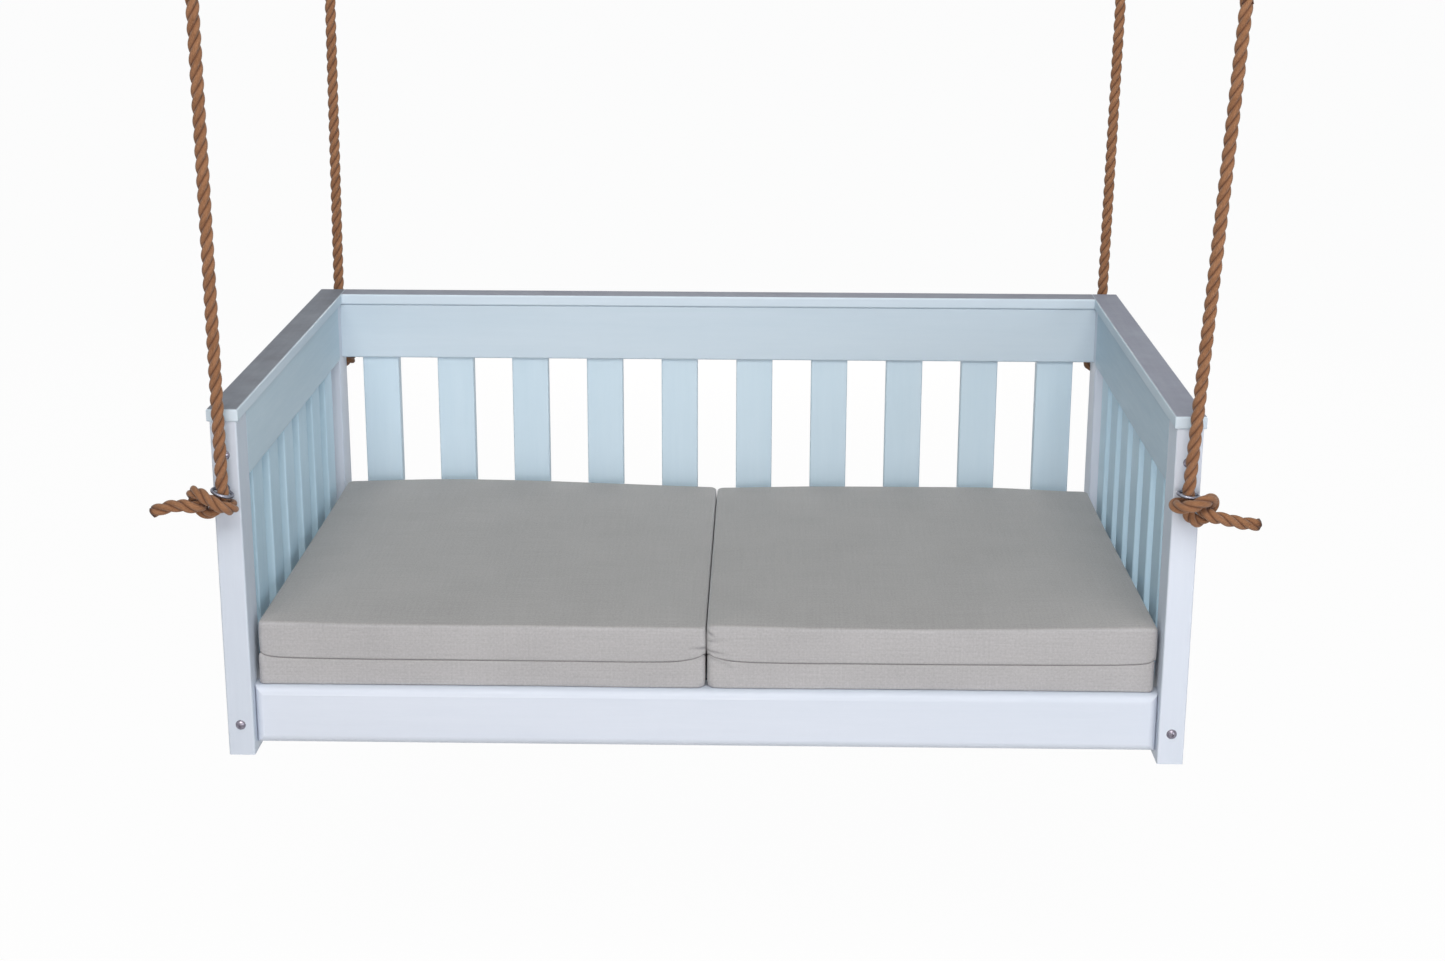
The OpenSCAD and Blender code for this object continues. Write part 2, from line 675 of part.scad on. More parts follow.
module eye_screws() color(steel) for (c = corners) at_ring(c) {
    rotate([0, eye_roll[c], 0]) rotate_extrude($fn = fine) translate([eye_ring_r, 0])
        circle(d = eye_wire_d, $fn = soft);
    rotate([90 * side_y[c], 0, 0]) translate([0, 0, eye_ring_r + 0.5])
        cylinder(h = eye_out - eye_ring_r - 0.5 + eye_shank_l, d = eye_shank_d, $fn = fine);
}

// --- cushions -------------------------------------------------------------

corner_steps = 6;
side_steps = 6;
// Inset at which the sides no longer draw in
draw_fade = 60;

// Outline of a cushion at an inset, from the middle of the cushion
function outline(sx, sy, inset) = let (
    hx = sx / 2 - corner_r, hy = sy / 2 - corner_r,
    quads = [[1, 1], [-1, 1], [-1, -1], [1, -1]])
    [for (q = [0 : 3]) let (c = [quads[q][0] * hx, quads[q][1] * hy],
        d = [quads[(q + 1) % 4][0] * hx, quads[(q + 1) % 4][1] * hy],
        out = [cos(90 * (q + 1)), sin(90 * (q + 1))],
        shrink = max(0, inset - corner_r + 1))
        each concat(
            [for (k = [0 : corner_steps]) let (a = 90 * q + 90 * k / corner_steps)
                c - shrink * quads[q] + max(corner_r - inset, 1) * [cos(a), sin(a)]],
            [for (k = [1 : side_steps - 1]) let (t = k / side_steps,
                e = c - shrink * quads[q], f = d - shrink * quads[(q + 1) % 4])
                e + (f - e) * t + out * (max(corner_r - inset, 1)
                    - draw_in * sin(180 * t) * max(0, 1 - inset / draw_fade))])];

// Levels of a cushion: height, inset
top_edge = cushion_h;
levels = [[0, 5], [1, 3.2], [3, 2.4], [8, 2.2], [0.5 * seam_h, 2], [seam_h - 6, 2.4],
    [seam_h - 2, 3.4], [seam_h, 5], [seam_h + 2, 2.6], [seam_h + 6, 0.8], [seam_h + 16, 0],
    [top_edge - 22, 0], [top_edge - 10, 0.8], [top_edge - 4, 2.4], [top_edge, 6],
    [top_edge + 0.25 * crown, 20], [top_edge + 0.55 * crown, 50], [top_edge + 0.85 * crown, 110],
    [top_edge + crown, 210]];

cushion_y = -half_d + cushion_front;
cushion_d = deck_y1 - cushion_back - cushion_y;

module cushion(x0, x1) color(cloth) at_seat() {
    sx = x1 - x0;
    translate([(x0 + x1) / 2, cushion_y + cushion_d / 2,
        bottom_top + cushion_clear])
        skin([for (v = levels) [for (p = outline(sx, cushion_d, v[1])) [p[0], p[1], v[0]]]]);
}

module cushion_left() cushion(-inner_x + cushion_side, 1.5 - cushion_gap / 2);
module cushion_right() cushion(1.5 + cushion_gap / 2, inner_x - cushion_side);

// --- ropes and knots --------------------------------------------------------

module knot(c, route) {
    path = curve([for (p = route) [side_x[c] * p[0], side_y[c] * p[1], p[2]]], knot_steps);
    echo(str("knot ", c, " least gap to itself ", self_gap(path, knot_r, own_bend)));
    color(jute) at_ring(c) {
        if (c == FL) tube(path, knot_r, [0, 1, 0], knot_sides);
        else union() {
            tube(path, knot_r, [0, 1, 0], knot_sides);
            difference() {
                translate([0, 0, -rope_r - pocket_drop - pocket_floor])
                    cylinder(h = rope_r + pocket_drop + pocket_floor + pocket_top,
                        r = pocket_r + pocket_wall, $fn = fine);
                translate([0, 0, -rope_r - pocket_drop])
                    cylinder(h = rope_r + pocket_drop + pocket_top + 1, r = pocket_r, $fn = fine);
            }
        }
    }
}

// Rope from its end at the ring up to the throat of its eye, and the eye itself
function rope_rings(c) = let (top = pin_up(c) - throat,
    start = c == FL ? [[nip_gap, rope_r, rope_r]] :
        [for (a = [75, 50, 25, 0]) [-rope_r * sin(a), rope_r * cos(a), rope_r * cos(a)]],
    runs = 20)
    concat(start,
        [for (i = [1 : runs]) [nip_gap + (top - splice_l - nip_gap) * i / runs, rope_r, rope_r]],
        [[top - 0.65 * splice_l, 1.2 * rope_r, 1.2 * rope_r],
        [top - 0.3 * splice_l, 1.35 * rope_r, 1.45 * rope_r],
        [top, 1.1 * rope_r, 1.95 * rope_r]]);

// Half of the eye's route: up a leg and round to the top
leg_y = rope_r + 0.25;
leg_rise = 12;
leg_end_below = 2;
leg_end_above = 4;
leg_z = -throat + leg_rise;
leg_far = norm([leg_y, leg_z]);
leg_angle = acos(loop_r / leg_far) + atan(leg_y / -leg_z);
function eye_half() = concat([[leg_y, -throat - leg_end_below], [leg_y, -throat + leg_end_above]],
    [[leg_y, leg_z] * 0.75 + loop_r * [sin(leg_angle), -cos(leg_angle)] * 0.25,
    [leg_y, leg_z] * 0.35 + loop_r * [sin(leg_angle), -cos(leg_angle)] * 0.65],
    [for (i = [0 : 10]) let (a = leg_angle + (180 - leg_angle) * i / 10)
        loop_r * [sin(a), -cos(a)]]);
function eye_route() = let (h = eye_half(), n = len(h)) concat(
    [for (p = h) [0, p[0], p[1]]], [for (i = [n - 2 : -1 : 0]) [0, -h[i][0], h[i][1]]]);

module rope(c) color(jute) along_rope(c) {
    echo(str("rope eye ", c, " least gap to itself ", self_gap(eye_route(), rope_r, 2 * loop_r)));
    union() {
        skin([for (v = rope_rings(c))
            ring_at([0, 0, v[0]], [1, 0, 0], [0, 1, 0], v[1], v[2], rope_sides)]);
        translate([0, 0, pin_up(c)]) tube(eye_route(), rope_r, [1, 0, 0], rope_sides);
    }
}

module rope_nip() color(jute) at_ring(FL) sphere(nip_r, $fn = fine);

// --- thimbles, shackles and ceiling brackets ---------------------------------

thimble_t = 20;
thimble_lip = 3;
thimble_r = loop_r - thimble_lip;
groove_clear = 0.3;
shackle_eye_d = 26;
shackle_eye_t = 10;
bow_clear = 0.3;
pin_head_d = 20;
pin_head_h = 6;
ear_r = 12;

module thimble(c) color(steel) at_pin(c) rotate([0, 90, 0]) rotate_extrude($fn = 96)
    difference() {
        translate([pin_d / 2 + pin_clear, -thimble_t / 2])
            square([thimble_r - pin_d / 2 - pin_clear, thimble_t]);
        translate([loop_r, 0]) circle(rope_r + groove_clear, $fn = fine);
    }

module shackle(c) color(steel) at_pin(c) {
    leg_x = (shackle_in + shackle_wire) / 2;
    bow_z = pin_to_bar + bar_d / 2 + bow_clear - shackle_in / 2;
    difference() {
        union() {
            for (s = [-1, 1]) {
                translate([s * (shackle_in + shackle_eye_t) / 2, 0, 0]) rotate([0, 90, 0])
                    cylinder(h = shackle_eye_t, d = shackle_eye_d, center = true, $fn = fine);
                translate([s * leg_x, 0, 0]) cylinder(h = bow_z, d = shackle_wire, $fn = fine);
            }
            translate([0, 0, bow_z]) rotate([90, 0, 0]) rotate_extrude(angle = 180, $fn = 96)
                translate([leg_x, 0]) circle(d = shackle_wire, $fn = fine);
        }
        rotate([0, 90, 0]) cylinder(h = 2 * shackle_in + 4 * shackle_eye_t, center = true,
            r = pin_d / 2 + pin_clear, $fn = fine);
    }
}

module shackle_pin(c) color(steel) at_pin(c) rotate([0, 90, 0]) {
    reach = shackle_in / 2 + shackle_eye_t;
    translate([0, 0, -reach]) cylinder(h = 2 * reach + 3, d = pin_d, $fn = fine);
    translate([0, 0, -reach - pin_head_h]) cylinder(h = pin_head_h, d = pin_head_d, $fn = fine);
}

module ceiling_bracket(c) color(steel) at_bar(c) difference() {
    union() {
        translate([-plate_w / 2, -plate_w / 2, bar_drop]) cube([plate_w, plate_w, plate_t]);
        for (s = [-1, 1]) translate([0, s * (ear_gap + plate_t) / 2, 0]) {
            rotate([90, 0, 0]) cylinder(h = plate_t, r = ear_r, center = true, $fn = fine);
            translate([-ear_r, -plate_t / 2, 0]) cube([2 * ear_r, plate_t, bar_drop + eps]);
        }
    }
    rotate([90, 0, 0]) cylinder(h = ear_gap + 4 * plate_t, r = bar_d / 2 + pin_clear,
        center = true, $fn = fine);
    for (i = [-1, 1], j = [-1, 1])
        translate([i * plate_holes / 2, j * plate_holes / 2, bar_drop - 1])
            cylinder(h = plate_t + 2, d = plate_hole_d, $fn = fine);
}

// Ceiling bolts, each with a hexagon head and nut outside the ears
module ceiling_bolts() color(steel) for (c = corners) at_bar(c) rotate([90, 0, 0]) {
    reach = ear_gap / 2 + plate_t;
    hex_h = 8;
    hex_d = 21;
    translate([0, 0, -reach - hex_h - 3]) cylinder(h = 2 * reach + hex_h + 3, d = bar_d,
        $fn = fine);
    translate([0, 0, reach]) cylinder(h = hex_h, d = hex_d, $fn = 6);
    difference() {
        translate([0, 0, -reach - hex_h]) cylinder(h = hex_h, d = hex_d, $fn = 6);
        translate([0, 0, -reach - hex_h - 1]) cylinder(h = hex_h + 2, d = bar_d - 1, $fn = fine);
    }
}

post(FL);  // post_front_left
post(FR);  // post_front_right
post(BL);  // post_back_left
post(BR);  // post_back_right
front_rail();
back_bottom_rail();
back_top_rail();
arm_top_rail(-1);  // arm_top_rail_left
arm_top_rail(1);  // arm_top_rail_right
arm_bottom_rail(-1);  // arm_bottom_rail_left
arm_bottom_rail(1);  // arm_bottom_rail_right
arm_cap(-1);  // arm_cap_left
arm_cap(1);  // arm_cap_right
back_cap();
back_slats();
arm_slats(-1);  // arm_slats_left
arm_slats(1);  // arm_slats_right
seat_boards();
seat_cleat_front();
seat_cleat_back();
arm_bolts();
rail_bolts();
barrel_nuts();
frame_dowels();
cap_dowels();
board_screws();
cleat_screws();
eye_screws();
cushion_left();
cushion_right();
knot(FL, knot_route_left);  // knot_front_left
knot(FR, knot_route_right);  // knot_front_right
knot(BL, knot_route_right);  // knot_back_left
knot(BR, knot_route_right);  // knot_back_right
rope(FL);  // rope_front_left
rope(FR);  // rope_front_right
rope(BL);  // rope_back_left
rope(BR);  // rope_back_right
rope_nip();
thimble(FL);  // thimble_front_left
thimble(FR);  // thimble_front_right
thimble(BL);  // thimble_back_left
thimble(BR);  // thimble_back_right
shackle(FL);  // shackle_front_left
shackle(FR);  // shackle_front_right
shackle(BL);  // shackle_back_left
shackle(BR);  // shackle_back_right
shackle_pin(FL);  // pin_front_left
shackle_pin(FR);  // pin_front_right
shackle_pin(BL);  // pin_back_left
shackle_pin(BR);  // pin_back_right
ceiling_bracket(FL);  // ceiling_bracket_front_left
ceiling_bracket(FR);  // ceiling_bracket_front_right
ceiling_bracket(BL);  // ceiling_bracket_back_left
ceiling_bracket(BR);  // ceiling_bracket_back_right
ceiling_bolts();
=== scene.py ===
"""Porch swing seat: a painted timber settee with two cushions, hung on four ropes.

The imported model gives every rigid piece. This script gives the timber, the steel, the rope and
the cloth their finishes, and models the ropes, their knots and the cushions, which stand for the
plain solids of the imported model. Lengths are in metres.
"""

import bisect
import itertools
import logging
import math
from dataclasses import dataclass, field
from enum import Enum

import bmesh
import bpy
from bmesh.types import BMesh
from bpy.types import ID, Material, Node, NodeSocket, NodeTree, Object
from mathutils import Matrix, Vector


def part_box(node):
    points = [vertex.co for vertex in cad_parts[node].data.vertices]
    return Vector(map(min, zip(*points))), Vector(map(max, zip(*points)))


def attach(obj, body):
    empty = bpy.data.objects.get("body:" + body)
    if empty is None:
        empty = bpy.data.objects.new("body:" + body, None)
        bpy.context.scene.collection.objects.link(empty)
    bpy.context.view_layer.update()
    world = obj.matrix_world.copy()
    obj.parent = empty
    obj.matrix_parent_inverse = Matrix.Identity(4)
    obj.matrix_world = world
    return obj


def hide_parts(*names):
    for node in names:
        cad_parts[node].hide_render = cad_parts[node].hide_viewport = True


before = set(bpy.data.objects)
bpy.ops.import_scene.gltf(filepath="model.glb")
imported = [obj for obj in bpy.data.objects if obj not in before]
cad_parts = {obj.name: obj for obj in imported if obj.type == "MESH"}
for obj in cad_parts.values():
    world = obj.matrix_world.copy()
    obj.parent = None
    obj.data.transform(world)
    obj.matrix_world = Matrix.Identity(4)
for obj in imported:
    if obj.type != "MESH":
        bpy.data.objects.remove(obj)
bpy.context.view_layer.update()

LOG = logging.getLogger("swing_seat")
MM = 0.001

Colour = tuple[float, float, float]


class Corner(Enum):
    """A corner of the seat.

    Its label in the nodes' names, its side across (left -1) and along (front -1), and how far its
    eye screw is set sideways and up from the others' place on the posts.
    """

    FRONT_LEFT = ("front_left", -1, -1, 0.0, 0.0)
    FRONT_RIGHT = ("front_right", 1, -1, -0.0025, 0.0085)
    BACK_LEFT = ("back_left", -1, 1, 0.004, 0.0)
    BACK_RIGHT = ("back_right", 1, 1, -0.001, 0.0)

    def __init__(self, label: str, across: int, along: int, sideways: float, up: float) -> None:
        """Names the parts of the corner's value."""
        self.label, self.across, self.along = label, across, along
        self.eye_shift = Vector((sideways, 0, up))


class Grain(Enum):
    """The way that a board runs, as the factors that stretch a pattern along it."""

    ALONG_X = (1.0, 14.0, 14.0)
    ALONG_Y = (14.0, 1.0, 14.0)
    ALONG_Z = (14.0, 14.0, 1.0)


def linear(colour: tuple[int, int, int]) -> tuple[float, ...]:
    """Turns an eight-bit display colour into a shader colour.

    Args:
        colour: The display values of red, green and blue, 0 to 255.

    Returns:
        The linear colour with full alpha.
    """
    def one(value: int) -> float:
        """Turns one of the values."""
        part = value / 255
        return part / 12.92 if part <= 0.04045 else ((part + 0.055) / 1.055) ** 2.4
    return (*map(one, colour), 1.0)


def put_in_scene(name: str, data: ID) -> Object:
    """Adds an object to the scene.

    Args:
        name: The object's name.
        data: Its mesh, lamp or camera.

    Returns:
        The object.
    """
    thing = bpy.data.objects.new(name, data)
    bpy.context.scene.collection.objects.link(thing)
    return thing


def middle_of(node: str) -> Vector:
    """Gives the middle of a node's box."""
    low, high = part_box(node)
    return (low + high) / 2


# --- shader building ---


class Tree:
    """Writes nodes and links into one node tree."""

    def __init__(self, tree: NodeTree) -> None:
        """Starts on an empty tree."""
        self.tree = tree
        tree.nodes.clear()

    def add(self, kind: str, settings: dict | None = None, **inputs: object) -> Node:
        """Adds a node.

        Args:
            kind: The node's type name without its ShaderNode prefix.
            settings: Values of the node's own properties.
            inputs: A value or an output socket for each input, with _ for a space in its name.

        Returns:
            The new node.
        """
        node = self.tree.nodes.new("ShaderNode" + kind)
        for name, value in (settings or {}).items():
            setattr(node, name, value)
        for name, value in inputs.items():
            self.feed(node, name.replace("_", " "), value)
        return node

    def feed(self, node: Node, name: str | int, value: object) -> None:
        """Gives a node's input a value.

        Args:
            node: The node.
            name: The input's name or number.
            value: A socket to link to it, or its own value.
        """
        target = node.inputs[name]
        if isinstance(value, NodeSocket):
            self.tree.links.new(value, target)
        else:
            target.default_value = value

    def maths(self, operation: str, *values: object, clamp: bool = False) -> NodeSocket:
        """Adds a Math node.

        Args:
            operation: What it works out.
            values: The values or sockets that it takes.
            clamp: Whether its result is held between 0 and 1.

        Returns:
            Its output.
        """
        node = self.add("Math", {"operation": operation, "use_clamp": clamp})
        for slot, value in enumerate(values):
            self.feed(node, slot, value)
        return node.outputs[0]

    def blend(self, factor: object, first: object, second: object) -> NodeSocket:
        """Adds a colour Mix node.

        Args:
            factor: The second colour's share.
            first, second: The two colours.

        Returns:
            Its output.
        """
        node = self.add("Mix", {"data_type": "RGBA"})
        for slot, value in ((0, factor), (6, first), (7, second)):
            self.feed(node, slot, value)
        return node.outputs[2]

    def remap(self, value: NodeSocket, low: float, high: float, to_low: float = 0.0,
              to_high: float = 1.0) -> NodeSocket:
        """Adds a clamped Map Range node.

        Args:
            value: The socket that it takes.
            low, high: The range that it takes.
            to_low, to_high: The range that it gives.

        Returns:
            Its output.
        """
        node = self.add("MapRange", {"clamp": True}, Value=value)
        for name, bound in (("From Min", low), ("From Max", high), ("To Min", to_low),
                            ("To Max", to_high)):
            node.inputs[name].default_value = bound
        return node.outputs["Result"]

    def noise(self, vector: object, scale: float, detail: float = 2.0,
              roughness: float = 0.5) -> NodeSocket:
        """Adds a Noise Texture.

        Args:
            vector: The place that it is read at.
            scale, detail, roughness: Its settings.

        Returns:
            Its value, about 0.5 in the middle.
        """
        node = self.add("TexNoise", {"noise_dimensions": "3D"}, Vector=vector, Scale=scale,
                        Detail=detail, Roughness=roughness)
        return node.outputs["Fac"]

    def mapped(self, vector: object, scale: tuple, rotation: tuple = (0, 0, 0)) -> object:
        """Adds a Mapping node that stretches and turns a pattern."""
        return self.add("Mapping", None, Vector=vector, Scale=scale, Rotation=rotation).outputs[0]

    def times(self, first: object, second: object) -> NodeSocket:
        """Multiplies two values."""
        return self.maths("MULTIPLY", first, second)

    def weigh(self, *terms: tuple[object, float]) -> NodeSocket:
        """Adds up values.

        Args:
            terms: Each value with its weight.

        Returns:
            The weighted sum.
        """
        parts = [value if weight == 1 else self.times(value, weight) for value, weight in terms]
        total = parts[0]
        for part in parts[1:]:
            total = self.maths("ADD", total, part)
        return total

    def attribute(self, name: str, kind: str) -> NodeSocket:
        """Reads one of the mesh's own attributes."""
        return self.add("Attribute", {"attribute_name": name}).outputs[kind]

    def object_place(self) -> NodeSocket:
        """Reads the place on the object, in metres."""
        return self.add("TexCoord").outputs["Object"]

    def group(self, shared: NodeTree, **inputs: object) -> dict:
        """Places a shared group with its own values, and returns its outputs by name."""
        return self.add("Group", {"node_tree": shared}, **inputs).outputs


class Coat(Tree):
    """A material's node tree, round one Principled BSDF."""

    def __init__(self, name: str, **shader: object) -> None:
        """Starts a material.

        Args:
            name: The material's name.
            shader: Constant values for the shader's own sockets, with _ for a space.
        """
        self.material = bpy.data.materials.new(name)
        self.material.use_nodes = True
        super().__init__(self.material.node_tree)
        self.surface = self.add("BsdfPrincipled", None, **shader)
        self.feed(self.add("OutputMaterial"), "Surface", self.surface.outputs["BSDF"])

    def finish(self, colour: object, rough: object, height: object, depth: float,
               strength: float = 1.0) -> Material:
        """Feeds the shader its colour, its roughness and its relief.

        Args:
            colour, rough: The colour's and the roughness's sockets.
            height: The relief's height.
            depth: How deep the relief is at most, in metres.
            strength: How strongly it shows.

        Returns:
            The material.
        """
        bump = self.add("Bump", None, Height=height, Distance=depth, Strength=strength)
        for name, socket in (("Base Color", colour), ("Roughness", rough),
                             ("Normal", bump.outputs["Normal"])):
            self.feed(self.surface, name, socket)
        return self.material


def shader_group(name: str, inputs: list[tuple[str, str, object]],
                 outputs: list[tuple[str, str]]) -> tuple[Tree, dict, Node]:
    """Starts a shader node group with named sockets.

    Args:
        name: The group's name.
        inputs: Each input's name, socket kind and default value.
        outputs: Each output's name and socket kind.

    Returns:
        The tree to write in, its input sockets by name, and the group's output node.
    """
    group = bpy.data.node_groups.new(name, "ShaderNodeTree")
    tree = Tree(group)
    for label, kind, default in inputs:
        socket = group.interface.new_socket(name=label, in_out="INPUT",
                                            socket_type="NodeSocket" + kind)
        if default is not None:
            socket.default_value = default
    for label, kind in outputs:
        group.interface.new_socket(name=label, in_out="OUTPUT", socket_type="NodeSocket" + kind)
    entry = group.nodes.new("NodeGroupInput")
    leave = group.nodes.new("NodeGroupOutput")
    return tree, {label: entry.outputs[label] for label, _, _ in inputs}, leave


def board_grain() -> NodeTree:
    """Makes the group for the look of sawn and painted boards.

    It takes coordinates already stretched along the board, and gives a soft tone that wanders
    from board to board, the fine streaks of brush and grain, and a height for a bump.

    Returns:
        The node group.
    """
    tree, given, leave = shader_group(
        "board_grain", [("Vector", "Vector", None), ("Pores", "Float", 0.5)],
        [("Tone", "Float"), ("Streaks", "Float"), ("Height", "Float")])
    tone = tree.noise(given["Vector"], 0.9, 2.0, 0.5)
    streaks = tree.noise(given["Vector"], 9.0, 5.0, 0.62)
    pores = tree.remap(tree.noise(given["Vector"], 34.0, 3.0, 0.7), 0.56, 0.74)
    pits = tree.times(pores, given["Pores"])
    tree.feed(leave, "Tone", tree.remap(tone, 0.3, 0.7))
    tree.feed(leave, "Streaks", tree.remap(streaks, 0.3, 0.7))
    tree.feed(leave, "Height", tree.maths("SUBTRACT", streaks, pits))
    return tree.tree


def upward_shade_and_dust() -> NodeTree:
    """Makes the group that marks faces that look up, broken up by noise: painted shade on the
    caps' tops and the cushions' tops, and a mask that roughens the steel.

    Returns:
        The node group.
    """
    tree, given, leave = shader_group(
        "upward_shade_and_dust", [("Vector", "Vector", None), ("Amount", "Float", 0.5),
                        ("Breakup", "Float", 0.3)], [("Mask", "Float")])
    normal = tree.add("NewGeometry").outputs["Normal"]
    up = tree.add("SeparateXYZ", None, Vector=normal).outputs["Z"]
    facing = tree.remap(up, 0.55, 0.95)
    patches = tree.noise(given["Vector"], 11.0, 5.0, 0.6)
    kept = tree.maths("SUBTRACT", 1.0,
                      tree.times(tree.remap(patches, 0.3, 0.7), given["Breakup"]))
    tree.feed(leave, "Mask", tree.maths(
        "MULTIPLY", tree.times(facing, kept), given["Amount"], clamp=True))
    return tree.tree


def thread_weave() -> NodeTree:
    """Makes the group for plain woven cloth on a flat pattern measured in metres.

    Warp and weft threads pass over and under each other, and both vary in thickness, which shows
    as faint lines along the cloth. A third output marks the hollows between the threads, which the
    cloth darkens: painted shade.
    as faint lines along the cloth.

    Returns:
        The node group.
    """
    tree, given, leave = shader_group(
        "thread_weave", [("Vector", "Vector", None), ("Thread", "Float", 0.0012)],
        [("Height", "Float"), ("Slub", "Float"), ("Gap", "Float")])
    parts = tree.add("SeparateXYZ", None, Vector=given["Vector"])
    turn = tree.maths("DIVIDE", math.pi, given["Thread"])
    waves = [tree.maths("SINE", tree.times(parts.outputs[axis], turn)) for axis in ("X", "Y")]
    ridge = tree.maths("MAXIMUM", *(tree.maths("ABSOLUTE", wave) for wave in waves))
    weft = tree.noise(tree.mapped(given["Vector"], (9.0, 520.0, 1.0)), 1.0, 1.0)
    warp = tree.noise(tree.mapped(given["Vector"], (430.0, 7.0, 1.0)), 1.0, 1.0)
    tree.feed(leave, "Height", tree.weigh((tree.times(*waves), 0.5), (ridge, 1)))
    tree.feed(leave, "Slub", tree.weigh((weft, 0.6), (warp, 0.4)))
    # Painted shade: a mask of the hollows between the threads.
    tree.feed(leave, "Gap", tree.remap(ridge, 0.75, 0.3))
    return tree.tree


@dataclass
class Workshop:
    """Holds the node groups that the finishes share."""

    grain: NodeTree = field(default_factory=board_grain)
    shade_and_dust: NodeTree = field(default_factory=upward_shade_and_dust)
    weave: NodeTree = field(default_factory=thread_weave)


@dataclass(frozen=True)
class PaintedTimber:
    """Satin paint, brushed along the board, over timber whose grain shows a little."""

    name: str
    grain: Grain
    paint: tuple = (204, 219, 230)
    shade: tuple = (190, 208, 221)
    # The colour that faces looking up are darkened to, and how far: painted shade.
    painted_top_shade: tuple | None = None
    top_shade_amount: float = 0.9
    roughness: float = 0.4

    def make(self, shop: Workshop) -> Material:
        """Makes the material.

        Args:
            shop: The shared node groups.

        Returns:
            The material.
        """
        coat = Coat(self.name, Specular_IOR_Level=0.42)
        place = coat.object_place()
        grain = coat.group(shop.grain, Vector=coat.mapped(place, self.grain.value), Pores=0.4)
        tone = coat.weigh((grain["Streaks"], 0.2), (grain["Tone"], 0.45))
        colour = coat.blend(tone, linear(self.paint), linear(self.shade))
        rough = coat.weigh((grain["Streaks"], 0.12), (self.roughness, 1))
        # Painted shade: faces that look up are darkened by their direction.
        if self.painted_top_shade:
            mask = coat.group(shop.shade_and_dust, Vector=place, Amount=self.top_shade_amount,
                              Breakup=0.12)["Mask"]
            colour = coat.blend(mask, colour, linear(self.painted_top_shade))
            rough = coat.weigh((rough, 1), (mask, 0.25))
        return coat.finish(colour, rough, grain["Height"], 0.0002, 0.6)


@dataclass(frozen=True)
class BareTimber:
    """Planed softwood and beech without paint."""

    name: str
    grain: Grain
    light: tuple = (222, 190, 140)
    dark: tuple = (176, 132, 82)

    def make(self, shop: Workshop) -> Material:
        """Makes the material.

        Args:
            shop: The shared node groups.

        Returns:
            The material.
        """
        coat = Coat(self.name)
        stretched = coat.mapped(coat.object_place(), self.grain.value)
        grain = coat.group(shop.grain, Vector=stretched, Pores=0.9)
        rings = coat.add("TexWave", {"wave_type": "BANDS", "bands_direction": "DIAGONAL"},
                         Vector=stretched, Scale=2.4, Distortion=7.0, Detail=3.0)
        tone = coat.weigh((rings.outputs["Fac"], 0.45), (grain["Streaks"], 0.4))
        return coat.finish(coat.blend(tone, linear(self.light), linear(self.dark)),
                           coat.remap(grain["Streaks"], 0, 1, 0.6, 0.8), grain["Height"], 0.0004)


@dataclass(frozen=True)
class Steel:
    """Plated steel with fine wear: bright and shiny, or dull and mottled."""

    name: str
    colour: tuple
    mottle: tuple
    smooth: float
    rough: float

    def make(self, shop: Workshop) -> Material:
        """Makes the material.

        Args:
            shop: The shared node groups.

        Returns:
            The material.
        """
        coat = Coat(self.name, Metallic=1.0)
        place = coat.object_place()
        spangle = coat.add("TexVoronoi", {"feature": "F1"}, Vector=place, Scale=420.0)
        spots = coat.times(spangle.outputs["Distance"], coat.noise(place, 160.0, 4.0, 0.6))
        mask = coat.remap(spots, 0.08, 0.42)
        shade_and_dust = coat.group(shop.shade_and_dust, Vector=place, Amount=0.25, Breakup=0.8)
        worn = coat.maths("MAXIMUM", mask, shade_and_dust["Mask"])
        scratches = coat.noise(coat.mapped(place, (900.0, 900.0, 90.0)), 1.0, 2.0)
        return coat.finish(coat.blend(mask, linear(self.colour), linear(self.mottle)),
                           coat.remap(worn, 0, 1, self.smooth, self.rough), scratches,
                           0.00006, 0.5)


@dataclass(frozen=True)
class RopeFibre:
    """Three-strand natural fibre rope: yarn lines on each strand, and the grooves between the
    strands
    darkened: painted shade.

    The pattern reads two attributes of the rope's mesh: strand, the place in the untwisted
    section and the length along the rope, and yarn, the same before the twist is taken out.
    """

    name: str = "rope_fibre"
    light: tuple = (160, 117, 85)
    middle: tuple = (121, 82, 54)
    groove: tuple = (88, 54, 36)
    cut: tuple = (58, 30, 20)
    radius: float = 0.0093

    def make(self) -> Material:
        """Makes the material.

        Returns:
            The material.
        """
        coat = Coat(self.name, Sheen_Weight=0.25, Sheen_Roughness=0.5, Specular_IOR_Level=0.2)
        strand, yarn = coat.attribute("strand", "Vector"), coat.attribute("yarn", "Vector")
        flat = coat.add("VectorMath", {"operation": "MULTIPLY"})
        coat.feed(flat, 0, strand)
        coat.feed(flat, 1, (1.0, 1.0, 0.0))
        length = coat.add("VectorMath", {"operation": "LENGTH"})
        coat.feed(length, 0, flat.outputs[0])
        # Painted shade: the fibre darkens towards the groove colour deeper between the strands.
        groove_shade = coat.remap(length.outputs["Value"], 0.9 * self.radius, 0.6 * self.radius)
        lines = coat.noise(coat.mapped(yarn, (1500.0, 1500.0, 60.0)), 1.0, 3.0, 0.6)
        fibres = coat.noise(coat.mapped(yarn, (4200.0, 4200.0, 300.0)), 1.0, 2.0, 0.7)
        patches = coat.noise(coat.mapped(strand, (60.0, 60.0, 24.0)), 1.0, 2.0)
        mix = coat.weigh((lines, 0.9), (fibres, 0.5))
        tone = coat.remap(coat.weigh((mix, 1), (patches, 0.5)), 0.7, 1.2)
        body = coat.blend(tone, linear(self.middle), linear(self.light))
        shaded = coat.blend(coat.maths("POWER", groove_shade, 1.7), body, linear(self.groove))
        return coat.finish(coat.blend(coat.attribute("cut_end", "Fac"), shaded, linear(self.cut)),
                           coat.remap(tone, 0, 1, 0.92, 0.78), mix, 0.0005, 0.8)


